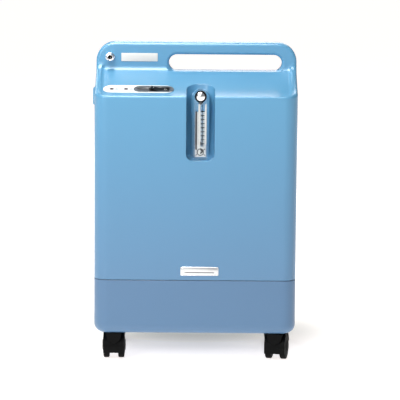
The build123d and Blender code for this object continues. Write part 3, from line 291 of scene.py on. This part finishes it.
def fabric(name, colour):
    """Woven webbing: ribs across the strap and fine threads along it."""
    made, tree, shader = start(name, sheen_weight=0.3, roughness=0.85)
    place = object_place(tree)
    ribs = node(tree, "TexWave", {"Vector": place, "Scale": RIBS_SCALE, "Distortion": 0.4},
                bands_direction="Z")
    threads = node(tree, "TexWave", {"Vector": place, "Scale": THREADS_SCALE, "Distortion": 0.6},
                   bands_direction="DIAGONAL")
    weave = combine(tree, "MULTIPLY", ribs.outputs["Fac"], threads.outputs["Fac"])
    base = linear(colour)
    tree.links.new(mix(tree, weave, shade(base, 0.6), shade(base, 1.3)), shader.inputs["Base Color"])
    tree.links.new(bump(tree, weave, 0.0003), shader.inputs["Normal"])
    return made


def foam(name, colour, cell):
    """Open-cell foam: round pores in a matt skin."""
    made, tree, shader = start(name, roughness=0.95, sheen_weight=0.15)
    cells = node(tree, "TexVoronoi", {"Vector": object_place(tree), "Scale": 1 / cell}).outputs["Distance"]
    base = linear(colour)
    pores = remap(tree, cells, 0.15, 0.6, 0.0, 1.0)
    tree.links.new(mix(tree, pores, shade(base, 0.4), shade(base, 1.4)), shader.inputs["Base Color"])
    tree.links.new(bump(tree, pores, 0.0006), shader.inputs["Normal"])
    return made


def circuit_board(name):
    """Green solder mask with darker copper tracks under it."""
    made, tree, shader = start(name, roughness=0.3, coat_weight=0.3)
    inputs = {"Vector": object_place(tree), "Scale": TRACKS_SCALE, "Mortar Size": 0.06, "Brick Width": 1.4}
    tracks = node(tree, "TexBrick", inputs).outputs["Fac"]
    green = linear((24, 92, 52))
    tree.links.new(mix(tree, tracks, green, shade(green, 0.55)), shader.inputs["Base Color"])
    tree.links.new(bump(tree, tracks, 0.00006), shader.inputs["Normal"])
    return made


def make_materials():
    """One material for each slot of the record."""
    steel = {"metal": 1.0, "stretch": (1, 1, 0.08)}
    return {
        # The housing darkens towards the bottom: painted shade.
        "housing_blue": surface("housing_blue", (85, 141, 177), 0.26, wear=0.3, tint=0.006,
                                edge_r=0.002, rough_swing=0.01, painted_shade_colour=(85, 125, 161)),
        "tray_blue": surface("tray_blue", (80, 114, 149), 0.36, wear=0.3, tint=0.008,
                             edge_r=0.0015, rough_swing=0.01),
        "panel_white": surface("panel_white", (226, 230, 234), 0.3, coat_weight=0.2),
        "dark_gloss": surface("dark_gloss", (64, 65, 68), 0.3, specular_level=0.4),
        "black_plastic": surface("black_plastic", (9, 9, 10), 0.45, wear=0.4, tint=0.08,
                                 specular_level=0.07),
        "lens_grey": surface("lens_grey", (58, 38, 38), 0.3, specular_level=0.25),
        "clear_acrylic": clear("clear_acrylic", (250, 253, 255), 0.01, 1.49),
        "float_black": surface("float_black", (18, 18, 20), 0.25),
        "chrome": surface("chrome", (236, 236, 238), 0.09, metal=1.0, grain_depth=0.000004),
        "badge_metal": surface("badge_metal", (206, 208, 212), 0.26, metal=1.0, stretch=(0.04, 1, 1)),
        "screw_steel": surface("screw_steel", (150, 152, 156), 0.3, metal=1.0, wear=0.4),
        "wheel_grey": surface("wheel_grey", (13, 13, 14), 0.6, wear=0.3, tint=0.08,
                              grain_depth=0.00005, specular_level=0.06),
        "strap_fabric": fabric("strap_fabric", (34, 36, 42)),
        "foam_black": foam("foam_black", (46, 46, 50), 0.0016),
        "cast_alloy": surface("cast_alloy", (168, 170, 172), 0.5, metal=0.9, grain_depth=0.00012, tint=0.08),
        "steel_plate": surface("steel_plate", (172, 174, 178), 0.36, wear=0.3, **steel),
        "spring_steel": surface("spring_steel", (132, 134, 138), 0.3, metal=1.0),
        "tube_alloy": surface("tube_alloy", (196, 190, 180), 0.3, **steel),
        "canister_alloy": surface("canister_alloy", (198, 200, 204), 0.32, **steel),
        "tank_plastic": surface("tank_plastic", (226, 226, 220), 0.42, tint=0.05),
        "bracket_plastic": surface("bracket_plastic", (60, 64, 70), 0.5, tint=0.06, wear=0.3),
        "board_green": circuit_board("board_green"),
        "capacitor_metal": surface("capacitor_metal", (178, 182, 190), 0.3, **steel),
        "hose_clear": clear("hose_clear", (232, 240, 246), 0.12, 1.43),
        "label_white": surface("label_white", (200, 199, 197), 0.34, grain_depth=0.00001),
    }


def dress_nodes():
    """Every CAD node gets the material of its slot."""
    for part in frame["record"]["subparts"]:
        mesh = NODES[part["node"]].data
        mesh.materials.clear()
        mesh.materials.append(FINISHES[part["material_slot"]])


# ---- mesh tools ----
WELD_DIST = 1e-6


def piece(name, form, slot, body="housing", replaces=(), sharp_deg=32):
    """Turns a bmesh in the row frame into a dressed piece that rides on a body."""
    mesh = bpy.data.meshes.new(name)
    form.normal_update()
    form.to_mesh(mesh)
    form.free()
    mesh.materials.append(FINISHES[slot])
    mesh.polygons.foreach_set("use_smooth", [True] * len(mesh.polygons))
    mesh.set_sharp_from_angle(angle=radians(sharp_deg))
    made = bpy.data.objects.new(name, mesh)
    bpy.context.scene.collection.objects.link(made)
    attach(made, body)
    if replaces:
        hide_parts(*replaces)
    return made


def add_prism(form, outline, depth, place, bevel=0.0):
    """An outline in X and Y, given a depth along Z, with its top edge rounded, put in place."""
    base = [form.verts.new((x, y, 0)) for x, y in outline]
    top = [form.verts.new((x, y, depth)) for x, y in outline]
    count = len(outline)
    form.faces.new(reversed(base))
    lid = form.faces.new(top)
    for i in range(count):
        form.faces.new((base[i], base[(i + 1) % count], top[(i + 1) % count], top[i]))
    made = set(base + top)
    if bevel:
        rounded = bmesh.ops.bevel(form, geom=list(lid.edges), offset=bevel, segments=3, profile=0.5,
                                  affect="EDGES", clamp_overlap=True)
        made |= set(rounded["verts"])
    bmesh.ops.transform(form, matrix=place, verts=[v for v in made if v.is_valid])


def rounded_rectangle(width, height, radius, steps=6):
    """The outline of a rectangle about the origin, with steps faces round each corner."""
    points = []
    for corner, (sx, sy) in enumerate(((1, 1), (-1, 1), (-1, -1), (1, -1))):
        for step in range(steps + 1):
            turn = pi / 2 * (corner + step / steps)
            points.append((sx * (width / 2 - radius) + radius * cos(turn),
                           sy * (height / 2 - radius) + radius * sin(turn)))
    return points


def add_lathe(form, profile, place, steps=48):
    """Turns a profile of (radius, height) points about Z. A radius of 0 closes the end."""
    rings = []
    for radius, height in profile:
        if radius == 0:
            rings.append([form.verts.new(place @ Vector((0, 0, height)))])
        else:
            rings.append([form.verts.new(place @ Vector((radius * cos(2 * pi * i / steps),
                                                         radius * sin(2 * pi * i / steps), height)))
                          for i in range(steps)])
    for low, high in zip(rings, rings[1:]):
        for i in range(steps):
            j = (i + 1) % steps
            corners = [low[i % len(low)], low[j % len(low)], high[j % len(high)], high[i % len(high)]]
            form.faces.new(list(dict.fromkeys(corners)))


def add_ring(form, profile, place, steps):
    """A lathe round a closed profile, so that it makes a solid ring."""
    add_lathe(form, profile + profile[:1], place, steps)
    bmesh.ops.remove_doubles(form, verts=form.verts, dist=WELD_DIST)


def facing_front(x, y, z):
    """A place whose own Z points out of the front, its X to the right and its Y up."""
    return Matrix.Translation((x, y, z)) @ Matrix.Rotation(pi / 2, 4, "X")


# ---- badges and labels ----
PRINT_T = 0.12 * MM
BADGE_RIM_W = 1.1 * MM
BADGE_RIM_H = 0.45 * MM
BADGE_SUNK = 0.5 * MM
BADGE_BAR_H = 1.5 * MM
BADGE_BAR_W_SHARE = 0.78
BADGE_BAR_DROP_SHARE = 0.16


def add_name_label():
    """The blank white label beside the outlet, with softened edges."""
    low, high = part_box("name_plate")
    middle = (low + high) / 2
    form = bmesh.new()
    place = facing_front(middle.x, high.y, middle.z)
    add_prism(form, rounded_rectangle(high.x - low.x, high.z - low.z, 1.2 * MM), high.y - low.y,
              place, 0.2 * MM)
    piece("name_label", form, "label_white", replaces=("name_plate",))


def add_badge():
    """A brushed plate with a raised rim and one plain bar."""
    low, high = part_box("badge_plate")
    middle = (low + high) / 2
    width, height, depth = high.x - low.x, high.z - low.z, high.y - low.y
    form = bmesh.new()
    place = facing_front(middle.x, high.y, middle.z)
    add_prism(form, rounded_rectangle(width, height, 1.6 * MM), depth - BADGE_SUNK, place, 0.3 * MM)
    face = facing_front(middle.x, high.y - depth + BADGE_SUNK, middle.z)
    inset = 1.1 * BADGE_RIM_W
    rim_r = BADGE_RIM_W / 2.2
    for side in (-1, 1):
        long_bar = face @ Matrix.Translation((0, side * (height / 2 - inset), 0))
        outline = rounded_rectangle(width - 3 * BADGE_RIM_W, BADGE_RIM_W, rim_r)
        add_prism(form, outline, BADGE_RIM_H, long_bar, 0.2 * MM)
        end_bar = face @ Matrix.Translation((side * (width / 2 - inset), 0, 0))
        outline = rounded_rectangle(BADGE_RIM_W, height - 3 * BADGE_RIM_W, rim_r)
        add_prism(form, outline, BADGE_RIM_H, end_bar, 0.2 * MM)
    piece("badge", form, "badge_metal", replaces=("badge_plate",))
    mark = bmesh.new()
    bar = face @ Matrix.Translation((0, -height * BADGE_BAR_DROP_SHARE, 0))
    add_prism(mark, rounded_rectangle(width * BADGE_BAR_W_SHARE, BADGE_BAR_H, 0.7 * MM), 0.3 * MM, bar)
    piece("badge_bar", mark, "dark_gloss")


# ---- flowmeter ----
# Heights on the scale are measured up from the top of the block's foot, which is FOOT_H high. X is
# measured in millimetres to the right of the block's middle, from one edge of a mark to the other.
FOOT_H = 27.5 * MM
FACE_SUNK = 1.0 * MM
SCALE_STEPS = 8
SCALE_LOW = 2.0 * MM
SCALE_HIGH = 62.0 * MM
TICK_X = (0.4, 7.4)
TICK_HALF_H = 1.15 * MM
HALF_TICK_X = (4.9, 7.0)
HALF_TICK_BELOW = (4.4 * MM, 3.4 * MM)
BAR_X = (-9.6, -6.2)
BAR_LOW = -9 * MM
# Two pale stripes down the block's face: painted highlights where the clear block shines.
HIGHLIGHT_X = (-4.2, -0.6)
HIGHLIGHT_LOW = -20 * MM
EDGE_HIGHLIGHT_X = (8.0, 11.0)
EDGE_HIGHLIGHT_LOW = 0.5 * MM
HIGHLIGHTS_HIGH = 76 * MM
BAND_H = 84 * MM
BAND_MIDDLE_UP = 45 * MM
BAND_INSET = 5 * MM
BAND_BEHIND = 0.15 * MM
FOOT_PORT_UP = 14 * MM
FOOT_RIB_OUT = 9.2 * MM
FOOT_RIB_TURNS = (35, 145, 215, 325)
LINER_R = 4.45 * MM
LINER_T = 0.25 * MM
LINER_BELOW_FLOAT = 1.5 * MM
LINER_TOP_SHARE = 0.84


def add_flow_scale():
    """Printed scale on the face of the clear block: rungs and a dark bar, and two pale stripes that are painted
    highlights.

    A pale band behind the block shows through it."""
    low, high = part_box("flowmeter_body")
    middle_x = (low.x + high.x) / 2
    place = facing_front(middle_x, low.y + FACE_SUNK, low.z + FOOT_H)
    ticks = bmesh.new()
    for step in range(SCALE_STEPS + 1):
        up = SCALE_LOW + (SCALE_HIGH - SCALE_LOW) * step / SCALE_STEPS
        add_bar(ticks, place, TICK_X, up - TICK_HALF_H, up + TICK_HALF_H)
        add_bar(ticks, place, HALF_TICK_X, up - HALF_TICK_BELOW[0], up - HALF_TICK_BELOW[1])
    piece("flow_scale_ticks", ticks, "float_black")
    bar = bmesh.new()
    add_bar(bar, place, BAR_X, BAR_LOW, SCALE_HIGH + 0.7 * MM)
    piece("flow_scale_bar", bar, "dark_gloss")
    # Painted highlights: two pale stripes down the clear block, where it would shine.
    painted_highlights = bmesh.new()
    add_bar(painted_highlights, place, HIGHLIGHT_X, HIGHLIGHT_LOW, HIGHLIGHTS_HIGH)
    add_bar(painted_highlights, place, EDGE_HIGHLIGHT_X, EDGE_HIGHLIGHT_LOW, HIGHLIGHTS_HIGH)
    piece("flow_scale_stripes", painted_highlights, "label_white")
    band = bmesh.new()
    add_prism(band, rounded_rectangle(high.x - low.x - BAND_INSET, BAND_H, 2.0 * MM), PRINT_T,
              facing_front(middle_x, high.y + BAND_BEHIND, low.z + BAND_MIDDLE_UP))
    piece("flow_scale_band", band, "label_white")


def add_bar(form, place, edges_mm, bottom, top):
    """A printed bar on a face, between two X in millimetres and two heights in metres."""
    left_mm, right_mm = edges_mm
    width = (right_mm - left_mm) * MM
    height = top - bottom
    middle = Matrix.Translation(((left_mm + right_mm) / 2 * MM, (bottom + top) / 2, 0))
    outline = rounded_rectangle(width, height, 0.3 * min(width, height), 3)
    add_prism(form, outline, PRINT_T, place @ middle)


def add_foot_port():
    """The moulded ring and ribs of the inlet in the foot of the clear block."""
    low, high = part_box("flowmeter_body")
    place = facing_front((low.x + high.x) / 2, low.y, low.z + FOOT_PORT_UP)
    form = bmesh.new()
    profile = [(5.2 * MM, 0), (5.4 * MM, 0.5 * MM), (6.6 * MM, 0.5 * MM), (6.8 * MM, 0)]
    add_ring(form, profile, place, 40)
    for turn in FOOT_RIB_TURNS:
        rib = place @ Matrix.Rotation(radians(turn), 4, "Z") @ Matrix.Translation((FOOT_RIB_OUT, 0, 0))
        add_prism(form, rounded_rectangle(3.6 * MM, 1.4 * MM, 0.5 * MM, 3), 0.4 * MM, rib, 0.15 * MM)
    piece("flow_foot_port", form, "dark_gloss")


def add_flow_tube():
    """The bore's thin liner, which shines as a bright line down the block."""
    low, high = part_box("flowmeter_body")
    float_low, float_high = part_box("flowmeter_float")
    middle = (float_low + float_high) / 2
    inner_r = LINER_R - LINER_T
    bottom = float_low.z - LINER_BELOW_FLOAT
    top = low.z + LINER_TOP_SHARE * (high.z - low.z)
    form = bmesh.new()
    profile = [(inner_r, bottom), (LINER_R, bottom), (LINER_R, top), (inner_r, top)]
    add_ring(form, profile, Matrix.Translation((middle.x, middle.y, 0)), 32)
    piece("flow_tube", form, "clear_acrylic")


# ---- outlet ----
OUTLET_STANDS_OUT = 12 * MM
SHANK_END = -12.8 * MM
SHANK_R = 4.9 * MM
PASSAGE_R = 2.4 * MM
NOZZLE_R = 7.1 * MM
THREAD_PITCH = 1.3 * MM
THREAD_START = 3.4 * MM
THREAD_DEPTH = 0.7 * MM
THREAD_TO_MOUTH = 2.2 * MM


def add_outlet():
    """The bright outlet: a collar, a nozzle ringed like a thread, and a coned mouth.

    Heights of the profile are measured out from the handle plate."""
    low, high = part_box("oxygen_outlet_fitting")
    x = (low.x + high.x) / 2
    z = (low.z + high.z) / 2
    plate_y = low.y + OUTLET_STANDS_OUT
    collar_r = (high.x - low.x) / 2
    length = plate_y - low.y
    root_r = NOZZLE_R - THREAD_DEPTH
    profile = [(PASSAGE_R, SHANK_END), (SHANK_R, SHANK_END), (SHANK_R, 0), (collar_r - 0.5 * MM, 0),
               (collar_r, 0.5 * MM), (collar_r, 2.5 * MM), (collar_r - 0.5 * MM, 3.0 * MM)]
    thread = THREAD_START
    while thread < length - THREAD_TO_MOUTH:
        profile += [(root_r, thread), (NOZZLE_R, thread + 0.45 * THREAD_PITCH),
                    (NOZZLE_R, thread + 0.6 * THREAD_PITCH)]
        thread += THREAD_PITCH
    profile += [(root_r, length - 1.2 * MM), (NOZZLE_R - 0.9 * MM, length - 0.3 * MM),
                (5.6 * MM, length), (SHANK_R, length - 0.2 * MM), (PASSAGE_R, length - 4 * MM)]
    form = bmesh.new()
    add_ring(form, profile, facing_front(x, plate_y, z), 64)
    piece("outlet_nozzle", form, "chrome", replaces=("oxygen_outlet_fitting",), sharp_deg=25)


# ---- control panel ----
RAY_START_Z = 1.0
MARK_OUT = 9.5 * MM
MARK_PITCH = 3.2 * MM
MARK_H = 1.1 * MM
LAMP_RING_H = 0.5 * MM
SIGN_OUT = 11 * MM


def land(node_name, start_at, direction):
    """Where a ray first meets a CAD node: the point, and the outward direction there."""
    mesh = NODES[node_name].data
    tree = BVHTree.FromPolygons([v.co for v in mesh.vertices], [p.vertices for p in mesh.polygons])
    point, normal, _, _ = tree.ray_cast(Vector(start_at), Vector(direction))
    return point, normal


def deck_place(node_name, x, y):
    """A place on top of a deck part whose own Z points out of it and whose X runs to the right."""
    point, up = land(node_name, (x, y, RAY_START_Z), (0, 0, -1))
    right = Vector((1, 0, 0)) - up.x * up
    right.normalize()
    return Matrix.Translation(point) @ Matrix((right, up.cross(right), up)).transposed().to_4x4()


def add_panel_marks():
    """Plain bars beside the lamps, in place of any lettering, and a low ring round each lamp."""
    form = bmesh.new()
    rings = bmesh.new()
    for index in range(2):
        low, high = lens_box(index)
        middle = (low + high) / 2
        radius = (high.x - low.x) / 2
        for row in range(3):
            place = deck_place("control_panel", middle.x + MARK_OUT, middle.y + (row - 1) * MARK_PITCH)
            add_prism(form, rounded_rectangle((7 - 1.5 * row) * MM, MARK_H, 0.3 * MM, 2), PRINT_T, place)
        place = deck_place("control_panel", middle.x + radius + 1.6 * MM, middle.y)
        place.translation.x = middle.x
        profile = [(radius + 0.25 * MM, 0), (radius + 0.3 * MM, LAMP_RING_H),
                   (radius + 1.3 * MM, LAMP_RING_H), (radius + 1.9 * MM, 0)]
        add_lathe(rings, profile, place, 32)
    piece("panel_marks", form, "dark_gloss")
    bmesh.ops.recalc_face_normals(rings, faces=rings.faces)
    piece("lamp_rings", rings, "lens_grey")


def lens_box(index):
    """The box of one of the two lamp lenses, left first."""
    points = [v.co for v in NODES["indicator_lenses"].data.vertices]
    middle = sum(p.x for p in points) / len(points)
    side = [p for p in points if (p.x > middle) == bool(index)]
    return (Vector([min(p[i] for p in side) for i in range(3)]),
            Vector([max(p[i] for p in side) for i in range(3)]))


def add_rocker_marks():
    """A bar on the raised end of the rocker and a ring on the other, the plain on and off signs."""
    low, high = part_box("power_switch_rocker")
    middle = (low + high) / 2
    form = bmesh.new()
    bar = deck_place("power_switch_rocker", middle.x - SIGN_OUT, middle.y)
    add_prism(form, rounded_rectangle(0.9 * MM, 5.0 * MM, 0.4 * MM, 3), PRINT_T, bar)
    ring = deck_place("power_switch_rocker", middle.x + SIGN_OUT, middle.y)
    profile = [(1.7 * MM, 0), (1.7 * MM, PRINT_T), (2.5 * MM, PRINT_T), (2.5 * MM, 0)]
    add_ring(form, profile, ring, 32)
    piece("rocker_marks", form, "label_white", body="power_rocker")


# ---- casters ----
HUB_REACH_R = 12 * MM
HUB_CAP_SUNK = 0.6 * MM
HUB_CAP_R = 10.5 * MM
HUB_RIBS = 5
HUB_RIB_OUT = 6 * MM
COLLAR_TOP = 53.72 * MM
COLLAR_LIP = 0.08 * MM
COLLAR_STEM_R = 5.6 * MM
COLLAR_SKIRT_R = 8.55 * MM


def add_hub_caps():
    """A pressed cap with five ribs on the outer face of each caster wheel."""
    for joint in frame["joints"]:
        wheel = joint["child"]
        if not joint["name"].endswith("wheel_spin"):
            continue
        centre = Vector(joint["pos_m"])
        axis = Vector(joint["axis"])
        points = [v.co - centre for v in NODES[wheel].data.vertices]
        side = 1 if sum(p.dot(axis) for p in points) > 0 else -1
        axis *= side
        reach = max(p.dot(axis) for p in points if (p - p.dot(axis) * axis).length < HUB_REACH_R)
        turn = axis.to_track_quat("Z", "Y").to_matrix().to_4x4()
        place = Matrix.Translation(centre + axis * (reach - HUB_CAP_SUNK)) @ turn
        form = bmesh.new()
        profile = [(HUB_CAP_R, 0), (HUB_CAP_R, 0.5 * MM), (9.6 * MM, 0.9 * MM), (8.6 * MM, 0.5 * MM),
                   (3.6 * MM, 0.7 * MM), (3.0 * MM, 1.2 * MM), (0, 1.35 * MM)]
        add_lathe(form, profile, place, 40)
        for rib in range(HUB_RIBS):
            spoke = place @ Matrix.Rotation(2 * pi * rib / HUB_RIBS, 4, "Z")
            spoke = spoke @ Matrix.Translation((HUB_RIB_OUT, 0, 0.4 * MM))
            add_prism(form, rounded_rectangle(6.0 * MM, 1.4 * MM, 0.5 * MM, 3), 0.6 * MM, spoke, 0.2 * MM)
        piece("hub_cap_" + wheel.replace("caster_", ""), form, "black_plastic", body=wheel)


def add_stem_collars():
    """A black collar with a rolled edge round each caster stem, just under the tray."""
    for joint in frame["joints"]:
        if not joint["name"].endswith("_swivel"):
            continue
        x, y, _ = joint["pos_m"]
        caster = joint["child"]
        top = COLLAR_TOP
        profile = [(COLLAR_SKIRT_R, top - 2.1 * MM), (9.3 * MM, top - 1.9 * MM), (9.6 * MM, top - 1.2 * MM),
                   (9.3 * MM, top - 0.4 * MM), (8.8 * MM, top), (COLLAR_STEM_R, top),
                   (COLLAR_STEM_R, top - COLLAR_LIP), (COLLAR_SKIRT_R, top - COLLAR_LIP)]
        form = bmesh.new()
        add_ring(form, profile, Matrix.Translation((x, y, 0)), 40)
        piece("stem_collar_" + caster.replace("caster_", ""), form, "black_plastic", body=caster)


# ---- soft pieces ----
STRAP_BEND_R = 76 * MM
STRAP_MIDDLE_IN = 0.8 * MM
STRAP_T = 1.2 * MM
STRAP_EDGE_SHARE = 0.5
STRAP_ROWS = 9
SIDE_STEPS = 8
BEND_STEPS = 24
REAR_STEPS = 6
NODE_WELD_DIST = 1e-5


def strap_line():
    """Points along the strap's middle, from the side anchor round the bottle to the rear face."""
    low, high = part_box("humidifier_strap")
    left = low.x + STRAP_MIDDLE_IN
    rear = high.y - STRAP_MIDDLE_IN
    centre = Vector((left + STRAP_BEND_R, rear - STRAP_BEND_R))
    points = [Vector((left, low.y + (centre.y - low.y) * i / SIDE_STEPS)) for i in range(SIDE_STEPS)]
    for i in range(BEND_STEPS + 1):
        turn = pi - pi / 2 * i / BEND_STEPS
        points.append(centre + STRAP_BEND_R * Vector((cos(turn), sin(turn))))
    points += [Vector((centre.x + (high.x - centre.x) * i / REAR_STEPS, rear))
               for i in range(1, REAR_STEPS + 1)]
    return points


def add_strap():
    """The webbing strap: two woven faces that draw together at the edges."""
    low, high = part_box("humidifier_strap")
    line = strap_line()
    rows = STRAP_ROWS
    form = bmesh.new()
    sides = []
    for out in (-1, 1):
        grid = []
        for i, point in enumerate(line):
            ahead = line[min(i + 1, len(line) - 1)] - line[max(i - 1, 0)]
            across = Vector((ahead.y, -ahead.x)).normalized()
            column = []
            for j in range(rows):
                share = j / (rows - 1)
                edge = STRAP_EDGE_SHARE if j in (0, rows - 1) else 1.0
                offset = point + across * out * STRAP_T / 2 * edge
                column.append(form.verts.new((offset.x, offset.y, low.z + share * (high.z - low.z))))
            grid.append(column)
        sides.append(grid)
    for grid, flip in zip(sides, (False, True)):
        for a, b in zip(grid, grid[1:]):
            for j in range(rows - 1):
                quad = [a[j], b[j], b[j + 1], a[j + 1]]
                form.faces.new(reversed(quad) if flip else quad)
    inner, outer = sides
    for j in (0, rows - 1):
        for i in range(len(line) - 1):
            form.faces.new((inner[i][j], outer[i][j], outer[i + 1][j], inner[i + 1][j]))
    for i in (0, len(line) - 1):
        for j in range(rows - 1):
            form.faces.new((inner[i][j], inner[i][j + 1], outer[i][j + 1], outer[i][j]))
    bmesh.ops.recalc_face_normals(form, faces=form.faces)
    strap = piece("strap", form, "strap_fabric", replaces=("humidifier_strap",))


def islands(node_name):
    """The box of each separate solid of a CAD node."""
    form = bmesh.new()
    form.from_mesh(NODES[node_name].data)
    bmesh.ops.remove_doubles(form, verts=form.verts, dist=NODE_WELD_DIST)
    left = set(form.verts)
    boxes = []
    while left:
        group, edge = set(), {left.pop()}
        while edge:
            vert = edge.pop()
            group.add(vert)
            edge |= {e.other_vert(vert) for e in vert.link_edges} - group
        left -= group
        boxes.append((Vector([min(v.co[i] for v in group) for i in range(3)]),
                      Vector([max(v.co[i] for v in group) for i in range(3)])))
    form.free()
    return sorted(boxes, key=lambda box: tuple(round(c, 4) for c in box[0]))


def add_foam_pad(name, low, high, node_name, cell, depth):
    """A foam sheet whose two broad faces rise and fall in rows of soft bumps."""
    size = high - low
    thin = min(range(3), key=lambda i: size[i])
    wide = [i for i in range(3) if i != thin]
    counts = [max(4, 2 * round(size[i] / cell)) for i in wide]
    form = bmesh.new()
    layers = []
    for side in (0, 1):
        layer = []
        for a in range(counts[0] + 1):
            row = []
            for b in range(counts[1] + 1):
                spot = low.copy()
                spot[wide[0]] += size[wide[0]] * a / counts[0]
                spot[wide[1]] += size[wide[1]] * b / counts[1]
                at_rim = a in (0, counts[0]) or b in (0, counts[1])
                hump = 0.5 + 0.5 * cos(pi * a) * cos(pi * b)
                inset = depth * (1.0 if at_rim else hump)
                spot[thin] += inset if side == 0 else size[thin] - inset
                row.append(form.verts.new(spot))
            layer.append(row)
        layers.append(layer)
    for layer in layers:
        for a in range(counts[0]):
            for b in range(counts[1]):
                form.faces.new((layer[a][b], layer[a + 1][b], layer[a + 1][b + 1], layer[a][b + 1]))
    rim = [(a, 0) for a in range(counts[0])] + [(counts[0], b) for b in range(counts[1])]
    rim += [(a, counts[1]) for a in range(counts[0], 0, -1)] + [(0, b) for b in range(counts[1], 0, -1)]
    near, far = layers
    for (a, b), (c, d) in zip(rim, rim[1:] + rim[:1]):
        form.faces.new((near[a][b], near[c][d], far[c][d], far[a][b]))
    bmesh.ops.recalc_face_normals(form, faces=form.faces)
    pad = piece(name, form, "foam_black", replaces=(node_name,), sharp_deg=70)
    smooth = pad.modifiers.new("soft", "SUBSURF")
    smooth.levels = smooth.render_levels = 1


def add_foams():
    """The sound foam on the walls, and the intake filter's foam."""
    for index, (low, high) in enumerate(islands("sound_foam")):
        add_foam_pad("sound_foam_pad_" + str(index + 1), low, high, "sound_foam",
                     cell=12 * MM, depth=1.4 * MM)
    low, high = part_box("intake_filter")
    add_foam_pad("intake_filter_pad", low, high, "intake_filter", cell=16 * MM, depth=1.6 * MM)


add_camera()
add_studio()
add_floor()
FINISHES = make_materials()
dress_nodes()
add_name_label()
add_badge()
add_flow_scale()
add_flow_tube()
add_foot_port()
add_outlet()
add_panel_marks()
add_rocker_marks()
add_hub_caps()
add_stem_collars()
add_strap()
add_foams()
